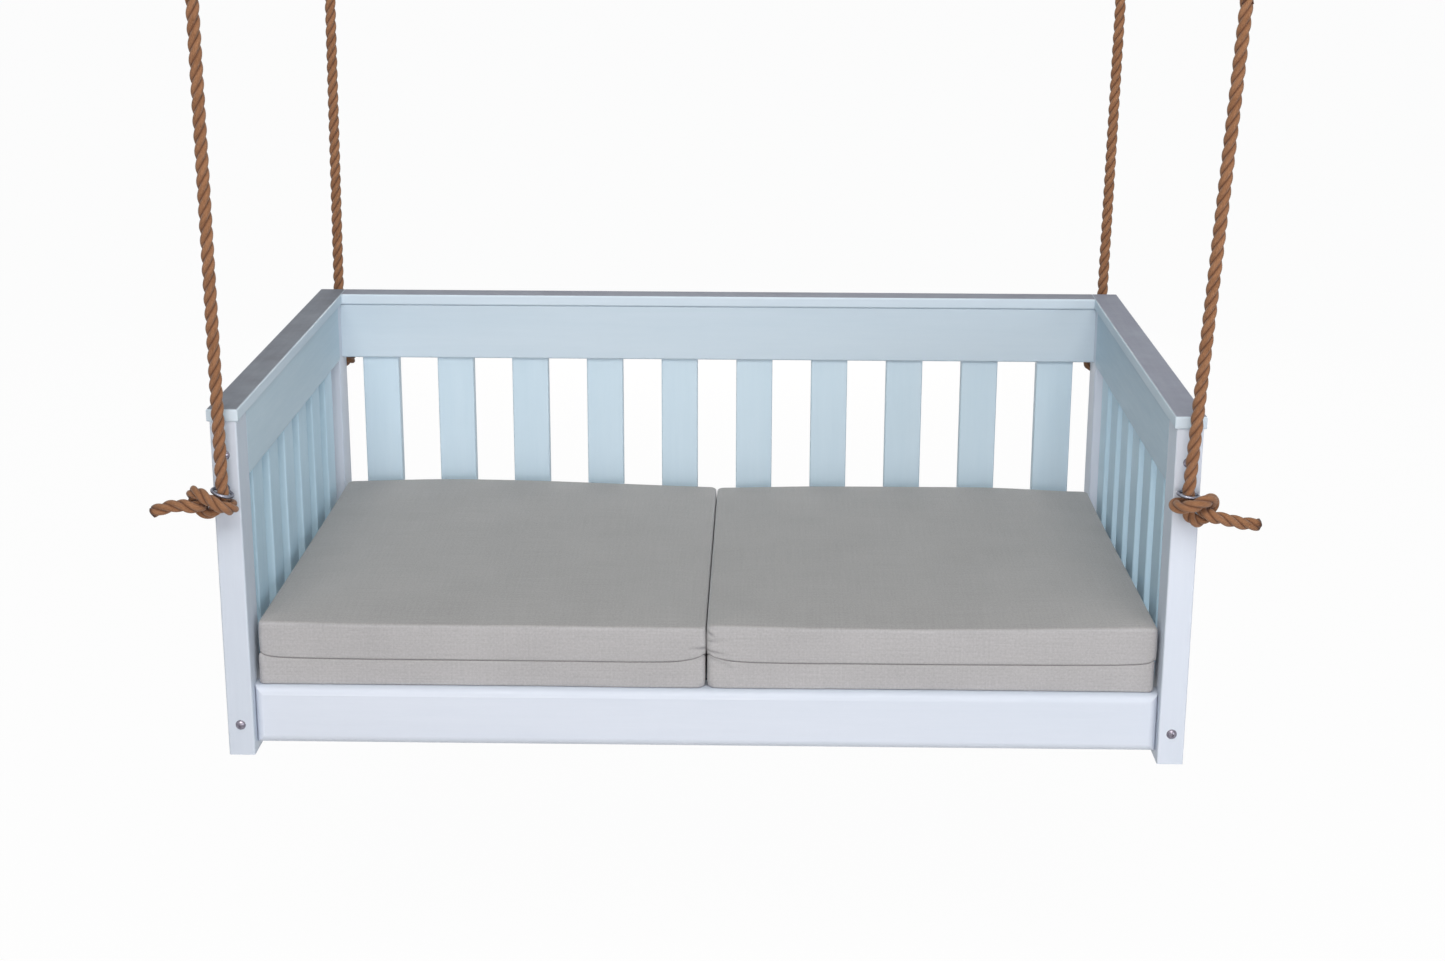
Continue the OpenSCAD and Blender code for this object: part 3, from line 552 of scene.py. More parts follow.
@dataclass(frozen=True)
class CushionCloth:
    """Grey outdoor cloth in a plain weave, darker and warmer where it looks up: painted shade.

    The pattern reads the mesh's fold attribute, which tells how deep in a seam or a crease it is,
    and darkens the cloth there: painted shade.
    """

    name: str = "cushion_cloth"
    thread: tuple = (187, 187, 189)
    top_shade_tint: tuple = (175, 173, 172)
    crease_shade: tuple = (0.06, 0.065, 0.075, 1)
    pitch: float = 0.0011

    def make(self, shop: Workshop) -> Material:
        """Makes the material.

        Args:
            shop: The shared node groups.

        Returns:
            The material.
        """
        coat = Coat(self.name, Sheen_Weight=0.2, Sheen_Roughness=0.45, Specular_IOR_Level=0.15)
        place = coat.add("UVMap", {"uv_map": "cloth"}).outputs["UV"]
        weave = coat.group(shop.weave, Vector=place, Thread=self.pitch)
        cloud = coat.remap(coat.noise(place, 7.0, 3.0, 0.55), 0.3, 0.7)
        fleck = coat.remap(coat.noise(place, 290.0, 3.0, 0.65), 0.32, 0.68)
        slub = coat.remap(weave["Slub"], 0.36, 0.64)
        # The hollows between the threads are darkened here: painted shade.
        tone = coat.weigh((slub, 0.22), (cloud, 0.22), (fleck, 0.5), (weave["Gap"], 0.4))
        # Painted shade: faces that look up are darker and warmer, by their direction alone.
        top = coat.group(shop.shade_and_dust, Vector=coat.object_place(), Amount=1.0, Breakup=0.0)
        light = coat.blend(top["Mask"], linear(self.thread), linear(self.top_shade_tint))
        dark = coat.blend(0.3, light, (0, 0, 0, 1))
        woven = coat.blend(coat.remap(tone, 0, 1), light, dark)
        # Painted shade: the cloth darkens in the seams and the creases.
        fold = coat.times(coat.attribute("fold", "Fac"), 0.42)
        return coat.finish(coat.blend(fold, woven, self.crease_shade),
                           coat.remap(slub, 0, 1, 0.84, 0.94), weave["Height"], 0.0003, 0.6)


@dataclass(frozen=True)
class SewingThread:
    """Twisted polyester thread, darker than the cloth."""

    name: str = "sewing_thread"
    light: tuple = (138, 138, 140)
    dark: tuple = (84, 84, 88)

    def make(self) -> Material:
        """Makes the material.

        Returns:
            The material.
        """
        coat = Coat(self.name, Specular_IOR_Level=0.25)
        stretched = coat.mapped(coat.object_place(), (2600.0, 2600.0, 900.0), (0, 0.6, 0))
        twist = coat.noise(stretched, 1.0, 2.0)
        return coat.finish(coat.blend(twist, linear(self.dark), linear(self.light)),
                           coat.remap(twist, 0.3, 0.7, 0.8, 0.6), twist, 0.0001)


# --- the view and the studio ---


@dataclass(frozen=True)
class Viewpoint:
    """The camera: its place, its turns in radians and its focal length in pixels."""

    place: tuple = (0.0799, -3.5101, 0.0213)
    pitch: float = 0.28142
    yaw: float = -0.01779
    roll: float = 0.00328
    focal: float = 2272.6
    image_width: float = 1445.0
    sensor: float = 36.0

    def build(self) -> None:
        """Creates the camera and makes it the scene's own."""
        data = bpy.data.cameras.new("camera")
        data.sensor_width = self.sensor
        data.lens = self.focal * self.sensor / self.image_width
        data.dof.use_dof = False
        level, down = math.cos(self.pitch), math.sin(self.pitch)
        ahead = Vector((math.sin(self.yaw) * level, math.cos(self.yaw) * level, -down))
        right = Vector((math.cos(self.yaw), -math.sin(self.yaw), 0))
        up = right.cross(ahead)
        tilted = math.cos(self.roll) * right + math.sin(self.roll) * up
        upright = tilted.cross(ahead)
        turn = Matrix((tilted, upright, -ahead)).transposed()
        camera = put_in_scene("camera", data)
        camera.matrix_world = Matrix.Translation(self.place) @ turn.to_4x4()
        bpy.context.scene.camera = camera


@dataclass(frozen=True)
class Softbox:
    """A large rectangular lamp that looks at a point."""

    name: str
    place: tuple
    target: tuple
    width: float
    height: float
    colour: Colour
    power: float

    def build(self) -> None:
        """Creates the lamp."""
        data = bpy.data.lights.new(self.name, "AREA")
        data.color = self.colour
        data.shape = "RECTANGLE"
        data.size, data.size_y = self.width, self.height
        data.energy = self.power
        lamp = put_in_scene(self.name, data)
        lamp.location = self.place
        aim = Vector(self.target) - Vector(self.place)
        lamp.rotation_euler = aim.to_track_quat("-Z", "Y").to_euler()


@dataclass
class Studio:
    """A pale floor, soft lamps and an even sky."""

    floor_z: float = -1.75
    floor_size: float = 60.0
    sky: float = 0.13
    sky_colour: tuple = (0.4, 0.78, 1.0, 1)
    glow: float = 0.97
    lamps: tuple = (
        Softbox("low_softbox", (0.0, -11.0, 0.5), (0, 0, -1.15), 4.0, 4.3, (1, 0.88, 0.86), 375.0),
        Softbox("side_softbox", (3.4, -4.2, -0.4), (0, 0, -1.15), 2.4, 2.2, (0.96, 0.96, 1),
                56.0),
        Softbox("high_softbox", (0.0, -3.2, 2.4), (0, 0, -1.1), 4.0, 2.0, (1, 0.955, 0.91), 139.0),
        Softbox("overhead_softbox", (0.0, 0.15, 0.9), (0, 0.2, -1.1), 2.2, 0.8, (1, 0.99, 0.95),
                11.0),
        Softbox("back_softbox", (0.0, 4.6, -0.9), (0, 0, -1.1), 2.2, 1.2, (1, 0.9, 0.84), 46.0),
    )

    def background(self, tree: Tree) -> NodeSocket:
        """Tells the rays that show the background: from the camera, in gloss or through glass.

        Args:
            tree: The tree to write in.

        Returns:
            1 for such a ray and 0 for any other.
        """
        path = tree.add("LightPath")
        seen = tree.maths("ADD", path.outputs["Is Camera Ray"], path.outputs["Is Glossy Ray"])
        return tree.maths("ADD", seen, path.outputs["Is Transmission Ray"], clamp=True)

    def build(self) -> None:
        """Builds the sky, the lamps and the floor."""
        scene = bpy.context.scene
        scene.view_settings.view_transform = "Standard"
        world = bpy.data.worlds.new("sky")
        world.use_nodes = True
        scene.world = world
        tree = Tree(world.node_tree)
        seen = self.background(tree)
        colour = tree.blend(seen, self.sky_colour, (1, 1, 1, 1))
        strength = tree.remap(seen, 0, 1, self.sky, 1.0)
        light = tree.add("Background", None, Color=colour, Strength=strength)
        tree.feed(tree.add("OutputWorld"), "Surface", light.outputs[0])
        for lamp in self.lamps:
            lamp.build()
        self.build_floor()

    def build_floor(self) -> None:
        """Builds the floor: white to the camera, and grey where a shadow falls."""
        material = bpy.data.materials.new("floor")
        material.use_nodes = True
        tree = Tree(material.node_tree)
        matte = tree.add("BsdfDiffuse", None, Color=(0.86, 0.83, 0.79, 1))
        bright = tree.add("Emission", None, Color=(1, 1, 1, 1), Strength=1.0)
        share = tree.times(self.background(tree), self.glow)
        mix = tree.add("MixShader", None)
        for slot, value in enumerate((share, matte.outputs[0], bright.outputs[0])):
            tree.feed(mix, slot, value)
        tree.feed(tree.add("OutputMaterial"), "Surface", mix.outputs[0])
        shape = bmesh.new()
        bmesh.ops.create_grid(shape, x_segments=2, y_segments=2, size=self.floor_size / 2)
        bmesh.ops.translate(shape, verts=shape.verts, vec=(0, 0, self.floor_z))
        floor = finish_mesh(shape, "floor", material, smooth=False)


# --- mesh helpers ---


def finish_mesh(shape: BMesh, name: str, finish: Material, smooth: bool = True) -> Object:
    """Turns a bmesh into an object at the origin.

    Args:
        shape: The bmesh, which is freed.
        name: The object's name.
        finish: Its material.
        smooth: Whether its faces are shaded smooth.

    Returns:
        The object.
    """
    for face in shape.faces:
        face.smooth = smooth
    mesh = bpy.data.meshes.new(name)
    shape.to_mesh(mesh)
    shape.free()
    mesh.materials.append(finish)
    return put_in_scene(name, mesh)


def between(values: list | tuple, i: int, t: float) -> Vector | float:
    """Reads a smooth curve through values.

    Args:
        values: The values, numbers or points.
        i: The value before the place to read.
        t: The share of the way from there to the next value.

    Returns:
        What lies there.
    """
    last = len(values) - 1
    a, b, c, d = values[max(i - 1, 0)], values[i], values[i + 1], values[min(i + 2, last)]
    return (b + (c - a) * (t / 2) + (2 * a - 5 * b + 4 * c - d) * (t * t / 2)
            + (3 * b - a - 3 * c + d) * (t ** 3 / 2))


def smooth_through(points: list[Vector], steps: int) -> list[Vector]:
    """Runs a smooth curve through points.

    Args:
        points: The points, in order.
        steps: Steps from each point to the next.

    Returns:
        The curve's points, both ends included.
    """
    return [between(points, i, k / steps) for i in range(len(points) - 1)
            for k in range(steps)] + [points[-1]]


@dataclass
class Route:
    """A smooth curve walked by length, with sideways axes that turn as little as they can.

    The first of them lies as near to X as it can.
    """

    points: list[Vector]
    steps: int = 12
    crowding: float = 0.8
    reach: int = 4
    walk: list[Vector] = field(init=False)
    lengths: list[float] = field(init=False)
    ahead: list[Vector] = field(init=False)
    across: list[Vector] = field(init=False)
    bends: list[Vector] = field(init=False)

    def __post_init__(self) -> None:
        """Works out the curve's lengths, directions, sideways axes and bends."""
        self.walk = smooth_through(self.points, self.steps)
        last = len(self.walk) - 1
        self.lengths = [0.0, *itertools.accumulate(
            (b - a).length for a, b in zip(self.walk, self.walk[1:]))]
        self.ahead = [(self.walk[min(i + 1, last)] - self.walk[max(i - 1, 0)]).normalized()
                      for i in range(last + 1)]
        self.across = []
        side = Vector((1, 0, 0))
        for way in self.ahead:
            side = (side - way * side.dot(way)).normalized()
            self.across.append(side)
        spans = [(max(i - self.reach, 0), min(i + self.reach, last)) for i in range(last + 1)]
        self.bends = [(self.ahead[k] - self.ahead[j]) / (self.lengths[k] - self.lengths[j])
                      for j, k in spans]

    @property
    def length(self) -> float:
        """The curve's length."""
        return self.lengths[-1]

    def place(self, x: float, y: float, along: float) -> Vector:
        """Puts a point of a straight bar on to the curve.

        Args:
            x, y: The point's place in the bar's section.
            along: Its length along the bar.

        Returns:
            Its place beside the curve, not past the centre of a tight bend.
        """
        i = min(max(bisect.bisect_right(self.lengths, along) - 1, 0), len(self.walk) - 2)
        run = self.lengths[i + 1] - self.lengths[i]
        t = (along - self.lengths[i]) / run
        centre = self.walk[i].lerp(self.walk[i + 1], t)
        way = self.ahead[i].lerp(self.ahead[i + 1], t).normalized()
        side = self.across[i].lerp(self.across[i + 1], t)
        side = (side - way * side.dot(way)).normalized()
        bend = self.bends[i].lerp(self.bends[i + 1], t)
        offset = side * x + way.cross(side) * y
        crowd = offset.dot(bend)
        if crowd > self.crowding:
            offset -= bend * ((crowd - self.crowding) / bend.length_squared)
        return centre + offset


# --- ropes ---


@dataclass(frozen=True)
class ThreeStrand:
    """Three-strand rope: its fibre, its size and the twist of its strands, laid to the right."""

    fibre: Material
    diameter: float = 0.018
    outer: float = 0.0093
    hollow: float = 0.0042
    lay: float = 0.061
    sides: int = 36
    step: float = 0.0024
    end_round: float = 0.003
    end_dark: float = 0.008

    def reach(self, angle: float, outer: float) -> float:
        """Gives the section's radius.

        Args:
            angle: Angle from the crown of a strand.
            outer: Radius over the crowns.

        Returns:
            The radius at that angle.
        """
        third = 2 * math.pi / 3
        away = (angle + third / 2) % third - third / 2
        offset = self.hollow * outer / self.outer
        strand = outer - offset
        return offset * math.cos(away) + math.sqrt(strand ** 2 - (offset * math.sin(away)) ** 2)

    def bar(self, start: float, length: float, outer: float) -> BMesh:
        """Makes a straight twisted bar that stands on the origin.

        Args:
            start: Length along the rope at the bar's foot, which sets the twist there.
            length: The bar's length.
            outer: Radius over the strands.

        Returns:
            The bar, with its strand and yarn attributes.
        """
        shape = bmesh.new()
        ring = bmesh.ops.create_circle(shape, segments=self.sides, radius=1.0)
        for vert in ring["verts"]:
            angle = math.atan2(vert.co.y, vert.co.x)
            vert.co = Vector((math.cos(angle), math.sin(angle), 0)) * self.reach(angle, outer)
        steps = max(4, round(length / self.step))
        turn = 2 * math.pi / self.lay
        bmesh.ops.rotate(shape, verts=shape.verts, cent=(0, 0, 0),
                         matrix=Matrix.Rotation(turn * start, 3, "Z"))
        bmesh.ops.spin(shape, geom=shape.edges[:], cent=(0, 0, 0), axis=(0, 0, 1),
                       dvec=(0, 0, length / steps), angle=turn * length, steps=steps,
                       use_merge=False, use_normal_flip=False, use_duplicate=False)
        strand = shape.verts.layers.float_vector.new("strand")
        yarn = shape.verts.layers.float_vector.new("yarn")
        for vert in shape.verts:
            straight = Matrix.Rotation(-turn * (start + vert.co.z), 3, "Z") @ vert.co
            vert[strand] = (straight.x, straight.y, start + vert.co.z)
            vert[yarn] = (vert.co.x, vert.co.y, start + vert.co.z)
        return shape

    def lay_along(self, route: Route, start: float, outer: float, cut: bool = False,
                  taper: tuple[float, float] = (0.0, 1.0)) -> BMesh:
        """Lays a length of rope along a route.

        Args:
            route: The route of the rope's middle.
            start: Length along the rope at the route's start, which sets the twist there.
            outer: Radius over the strands.
            cut: Whether the last end is a cut end, rounded and dark.
            taper: The length over which the last end thins, and the share that it thins to.

        Returns:
            The rope as one closed shape.
        """
        thinned, share = taper
        shape = self.bar(start, route.length, outer)
        cut_end = shape.verts.layers.float.new("cut_end")
        for vert in shape.verts:
            rest = route.length - vert.co.z
            size = 1.0
            if cut:
                missing = max(1 - rest / self.end_round, 0)
                size = math.sqrt(max(1 - 0.75 * missing ** 2, 0))
                vert[cut_end] = 1 - min(rest / self.end_dark, 1) ** 2
            if thinned and rest < thinned:
                size *= share + (1 - share) * rest / thinned
            vert.co = route.place(vert.co.x * size, vert.co.y * size, vert.co.z)
        rims = [edge for edge in shape.edges if edge.is_boundary]
        bmesh.ops.holes_fill(shape, edges=rims, sides=0)
        bmesh.ops.recalc_face_normals(shape, faces=shape.faces[:])
        return shape


@dataclass
class HangingRope:
    """One rope from its ring up to the eye round the thimble, with its splice."""

    corner: Corner
    lay: ThreeStrand
    ring: Vector
    pin: Vector
    eye_radius: float = 0.030
    throat: float = 0.060
    leg_y: float = 0.00925
    leg_z: float = -0.048
    splice: float = 0.056
    splice_turns: float = 0.8
    splice_points: int = 14
    splice_outer: float = 0.0041
    strand_out: float = 0.0088
    strand_in: float = 0.0024
    strand_wave: float = 0.0010
    strand_stretch: float = 0.55
    start: float = -0.0078
    straight_step: float = 0.06
    tail: float = 0.045
    lead_in: tuple = ((0.0025, 0.018), (0.0062, 0.036))
    lead_out: tuple = ((-0.0072, 0.020), (-0.0058, 0.045))

    def local_points(self) -> list[Vector]:
        """Gives the route from the ring, in a frame whose Z runs up the rope.

        Returns:
            The points: the straight rope, one leg, round the thimble, the other leg and its
            tail inside the splice.
        """
        top = (self.pin - self.ring).length
        far = math.hypot(self.leg_y, self.leg_z)
        angle = math.acos(self.eye_radius / far) + math.atan(self.leg_y / -self.leg_z)
        touch = Vector((math.sin(angle), -math.cos(angle))) * self.eye_radius
        foot = Vector((self.leg_y, self.leg_z))
        half = [Vector((self.leg_y, -self.throat - 0.002)),
                Vector((self.leg_y, -self.throat + 0.004)),
                foot * 0.75 + touch * 0.25, foot * 0.35 + touch * 0.65]
        half += [Vector((math.sin(a), -math.cos(a))) * self.eye_radius for a in
                 (angle + (math.pi - angle) * i / 10 for i in range(11))]
        eye = half + [Vector((-p.x, p.y)) for p in reversed(half[:-1])]
        base = top - self.throat - self.splice
        runs = round((base - self.start) / self.straight_step)
        points = [Vector((0, 0, self.start + (base - self.start) * i / runs))
                  for i in range(runs + 1)]
        points += [Vector((0, y, base + z)) for y, z in self.lead_in]
        points += [Vector((0, p.x, top + p.y)) for p in eye]
        points += [Vector((0, y, top - self.throat - z)) for y, z in self.lead_out]
        return points

    def to_place(self, point: Vector) -> Vector:
        """Turns the rope's own frame into the seat's.

        Args:
            point: A point in the rope's own frame.

        Returns:
            The point in the seat's frame.
        """
        up = (self.pin - self.ring).normalized()
        lean = math.atan2(up.x, up.z)
        return self.ring + Matrix.Rotation(lean, 3, "Y") @ point

    def build(self, more: tuple[Object, ...]) -> None:
        """Args:
            more: Further pieces on this cord; not used.
        """
        label = self.corner.label
        route = Route([self.to_place(p) for p in self.local_points()])
        shape = self.lay.lay_along(route, self.start, self.lay.outer, taper=(self.tail, 0.5))
        rope = finish_mesh(shape, "hanging_rope_" + label, self.lay.fibre)
        splice = self.build_splice()
        for piece in (rope, splice):
            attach(piece, "rope_" + label)
        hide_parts("rope_" + label)
        LOG.info("hanging_rope_%s: %.0f mm of rope", label, route.length / MM)

    def build_splice(self) -> Object:
        """Builds the three strands tucked back into the rope under the eye.

        Returns:
            The tucked strands as one mesh.
        """
        top = (self.pin - self.ring).length - self.throat
        whole = bmesh.new()
        for strand in range(3):
            points = []
            for i in range(self.splice_points + 1):
                t = i / self.splice_points
                angle = 2 * math.pi * (strand / 3 - self.splice_turns * t) - math.pi / 2
                around = (self.strand_out - self.strand_in * t
                          + self.strand_wave * math.cos(6 * math.pi * t))
                stretch = 1 + self.strand_stretch * (1 - t) ** 2
                points.append(self.to_place(Vector((
                    around * math.cos(angle), around * stretch * math.sin(angle),
                    top + 0.001 - self.splice * t))))
            route = Route(points, steps=6)
            shape = self.lay.lay_along(route, 0.0, self.splice_outer,
                                       taper=(route.length, 0.55))
            part = bpy.data.meshes.new("strand")
            shape.to_mesh(part)
            shape.free()
            whole.from_mesh(part)
            bpy.data.meshes.remove(part)
        return finish_mesh(whole, "eye_splice_" + self.corner.label, self.lay.fibre)


@dataclass
class StopperKnot:
    """The knot under a ring, with the rope's tail."""

    corner: Corner
    lay: ThreeStrand
    ring: Vector
    left: tuple = (
        (0, 0, -9.3), (1.6, 0, -13), (6, 1, -19), (12.5, 1, -26.5), (22, -2, -30),
        (32, -6, -28), (39.5, -9, -21.5), (43, -7, -12.5), (42.5, -2, -3.5), (39, 5, 2.4),
        (30, 12, 2), (18, 17, -3.8), (7, 18.5, -10.6), (-4.5, 16.5, -17), (-12.2, 5, -22),
        (-11.5, -7, -22), (-2.5, -15.8, -19), (9, -17, -16), (20, -11.5, -15.5),
        (28, 0, -16.5), (34, 9, -18), (43, 13, -17), (53, 13, -15.5), (65, 12, -16),
        (77, 12, -18.5), (89, 11, -22.5), (100, 10, -26.5))
    right: tuple = (
        (0, 0, -12), (0.5, 0, -19), (2, 0, -27), (8, -1, -35.5), (17, -4, -39), (26, -8, -35.5),
        (33, -11, -26), (36, -7, -15), (33, 3, -6.5), (26, 14, -3), (15, 21.5, -5),
        (2, 22.5, -9.5), (-9, 17, -13), (-17, 6, -15), (-16, -6, -16), (-8, -15, -17),
        (4, -17.2, -17), (14, -12, -18), (20.5, 0, -20.5), (26, 11, -24), (36, 14, -28),
        (50, 13, -31), (66, 12, -35), (82, 11, -38), (102, 10, -39))
    start: float = 0.0072

    def build(self) -> None:
        label = self.corner.label
        listed = self.left if self.corner is Corner.FRONT_LEFT else self.right
        points = [self.ring + Vector((self.corner.across * u, self.corner.along * v, w)) * MM
                  for u, v, w in listed]
        points.insert(0, self.ring - Vector((0, 0, self.start)))
        route = Route(points)
        shape = self.lay.lay_along(route, self.start, self.lay.outer, cut=True)
        knot = finish_mesh(shape, "stopper_knot_" + label, self.lay.fibre)
        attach(knot, "seat")
        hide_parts("knot_" + label)
        LOG.info("stopper_knot_%s: %.0f mm of rope", label, route.length / MM)


@dataclass
class RopeWork:
    """The four ropes, their knots, and the bit of rope inside the front left ring."""

    lay: ThreeStrand
    eye_height: float = 0.409
    eye_out: float = 0.026
    nip_reach: float = 0.0095

    def ring_of(self, corner: Corner) -> Vector:
        """Works out where a ring is from its post.

        Args:
            corner: The ring's corner.

        Returns:
            The ring's centre.
        """
        low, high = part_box("post_" + corner.label)
        face = low.y if corner.along < 0 else high.y
        return corner.eye_shift + Vector((
            (low.x + high.x) / 2, face + corner.along * self.eye_out, low.z + self.eye_height))

    def build(self) -> None:
        """Builds every piece of rope."""
        shared = (self.build_nip(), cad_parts["ceiling_bolts"])
        for corner in Corner:
            ring = self.ring_of(corner)
            rope = HangingRope(corner, self.lay, ring, middle_of("thimble_" + corner.label))
            rope.build(shared if corner is Corner.FRONT_LEFT else ())
            StopperKnot(corner, self.lay, ring).build()

    def build_nip(self) -> Object:
        """Builds the rope inside the front left ring, which turns on its own.

        Returns:
            The short rope.
        """
        ring = self.ring_of(Corner.FRONT_LEFT)
        ends = [ring + Vector((0, 0, z)) for z in (-self.nip_reach, 0, self.nip_reach)]
        route = Route(ends, steps=4)
        shape = self.lay.lay_along(route, -self.nip_reach, self.lay.outer)
        nip = finish_mesh(shape, "rope_in_ring", self.lay.fibre)
        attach(nip, "nip")
        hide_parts("rope_nip")
        LOG.info("rope_in_ring: %.0f mm of rope", route.length / MM)
        return nip


# --- cushions ---


@dataclass
class Crease:
    """A short fold in a cushion's front, in millimetres from its inner end and its bottom."""

    start: tuple
    end: tuple
    depth: float = 1.5
    width: float = 1.9

    def push(self, across: float, up: float) -> tuple[float, float]:
        """Presses the fold in.

        Args:
            across, up: A point's place from the cushion's inner end and from its bottom.

        Returns:
            How far in the fold takes the point, and how deep the point lies in it, 0 to 1.
        """
        run = Vector(self.end) - Vector(self.start)
        gap = Vector((across, up)) - Vector(self.start)
        t = gap.dot(run) / run.length_squared
        fade = max(0.0, 1 - max(-t, t - 1, 0) * 2) * (1 - 0.7 * min(max(t, 0), 1))
        side = (gap.x * run.y - gap.y * run.x) / run.length
        valley = math.exp(-(side / self.width) ** 2)
        ridge = math.exp(-((side + 1.7 * self.width) / self.width) ** 2)
        return self.depth * fade * (valley - 0.5 * ridge), 0.8 * self.depth * fade * valley


@dataclass
class Cushion:
    """A boxed seat cushion of two sewn halves, with one seam round its sides.

    Across it runs from -1 at the end by the arm to 1 at the end by the other cushion.
    """

    name: str
    low: Vector
    high: Vector
    outward: int
    front_lift: tuple
    back_lift: tuple
    creases: tuple
    outer_out: tuple
    height: float = 94.0
    crown: float = 8.0
    seam: float = 39.5
    corner_radius: float = 9.0
    top_round: float = 6.0
    bottom_round: float = 2.5
    draw_in: float = 1.2
    groove: float = 2.6
    inner_out: float = 0.9
    edge_reach: float = 60.0
    seam_reach: float = 20.0
    crown_reach: float = 210.0
    fold_reach: tuple = (60.0, 40.0)
    inner_rise: tuple = ((14.0, 20.0),)
    outer_rise: tuple = ((8.5, 6.0), (3.5, 35.0))
    loose_corner: tuple = (4.5, 6.0)
    cells: tuple = (72, 72)
    levels: tuple = (
        0, 0.5, 1.2, 2.2, 4, 8, 13, 18, 23, 28, 32, 35, 37, 38.2, 38.9, 39.3, 39.7, 40.1, 40.8,
        42, 43.5, 45.5, 48, 50.5, 53, 55.5, 58, 60.5, 63, 65.5, 68, 70.5, 73, 75.5, 78, 80.5,
        83, 85.2, 87, 88.2, 89.4, 90.5, 91.5, 92.4, 93.1, 93.6, 93.9, 94)

    def __post_init__(self) -> None:
        """Works out the middle of the cushion's bottom, in metres, and its half sizes."""
        self.middle = Vector(((self.low.x + self.high.x) / 2, (self.low.y + self.high.y) / 2,
                              self.low.z))
        self.half_x = (self.high.x - self.low.x) / 2 / MM
        self.half_y = (self.high.y - self.low.y) / 2 / MM

    def box_shell(self) -> BMesh:
        """Makes a cube cut into cells.

        Returns:
            The shell, from -1 to 1 each way.
        """
        shape = bmesh.new()
        bmesh.ops.create_cube(shape, size=2.0)
        for axis, count in enumerate((*self.cells, len(self.levels) - 1)):
            along = [e for e in shape.edges
                     if abs(e.verts[0].co[axis] - e.verts[1].co[axis]) > 1.9]
            bmesh.ops.subdivide_edges(shape, edges=along, cuts=count - 1, use_grid_fill=True)
        return shape

    def spread(self, t: float) -> float:
        """Moves an even place from -1 to 1 towards the nearer end, to crowd the cells there."""
        crowd = 0.84
        return t * (1 - crowd) + crowd * math.sin(math.pi * t / 2)

    def along_five(self, values: tuple, t: float) -> float:
        """Reads a smooth curve through five values set evenly from -1 to 1."""
        place = min(max((t + 1) * 2, 0.0), 3.9999)
        return between(values, int(place), place - int(place))

    def lift(self, x: float, y: float) -> float:
        """Gives how far the top edge stands over its usual height.

        Args:
            x, y: A place in the plan.

        Returns:
            The lift in millimetres.
        """
        across = -self.outward * x / self.half_x
        back = (y / self.half_y + 1) / 2
        share = back * back * (3 - 2 * back)
        return ((1 - share) * self.along_five(self.front_lift, across)
                + share * self.along_five(self.back_lift, across))

    def seam_rise(self, x: float, y: float) -> float:
        """Gives how far the seam climbs towards a corner, further at the inner ones.

        Args:
            x, y: A place in the plan.

        Returns:
            The climb in millimetres.
        """
        gap = max(self.half_x - abs(x), self.half_y - abs(y))
        rises = self.inner_rise if self.outward * x < 0 else self.outer_rise
        return sum(height * math.exp(-gap / reach) for height, reach in rises)

    def side_inset(self, x: float, z: float) -> float:
        """Gives how far a side is drawn in: by its round edges, the seam and its bulge.

        Args:
            x, z: The place across the cushion and the height.

        Returns:
            The inset in millimetres.
        """
        inset = 0.0
        for size, over in ((self.top_round, z - self.height + self.top_round),
                           (self.bottom_round, self.bottom_round - z)):
            if over > 0:
                inset += size - math.sqrt(max(size ** 2 - over ** 2, 0))
        away = z - self.seam
        upper_share = 1 / (1 + math.exp(-away / 1.5))
        inset += self.groove * math.exp(-(away / 0.8) ** 2) + 0.3 * (1 - upper_share)
        if away > 0:
            inset -= 0.8 * math.sin(math.pi * away / (self.height - self.seam))
        outer_share = max(0.0, 1 - (self.half_x - self.outward * x) / 30.0)
        lower, upper = self.outer_out
        inset -= outer_share * (lower + (upper - lower) * upper_share)
        return inset - self.inner_out * (self.outward * x < -self.half_x * 0.5)

    def draw_sides(self, x: float, y: float) -> Vector:
        """Gives how far the sides are drawn in between the corners.

        Args:
            x, y: A place in the plan.

        Returns:
            How far in it lies, each way.
        """
        inner_end = self.outward * x < 0
        bow_x = 0 if inner_end else self.draw_in * math.cos(math.pi * y / (2 * self.half_y))
        bow_y = self.draw_in * math.cos(math.pi * x / (2 * self.half_x))
        near_x = max(0.0, 1 - (self.half_x - abs(x)) / self.edge_reach)
        near_y = max(0.0, 1 - (self.half_y - abs(y)) / self.edge_reach)
        return Vector((bow_x * near_x, bow_y * near_y))

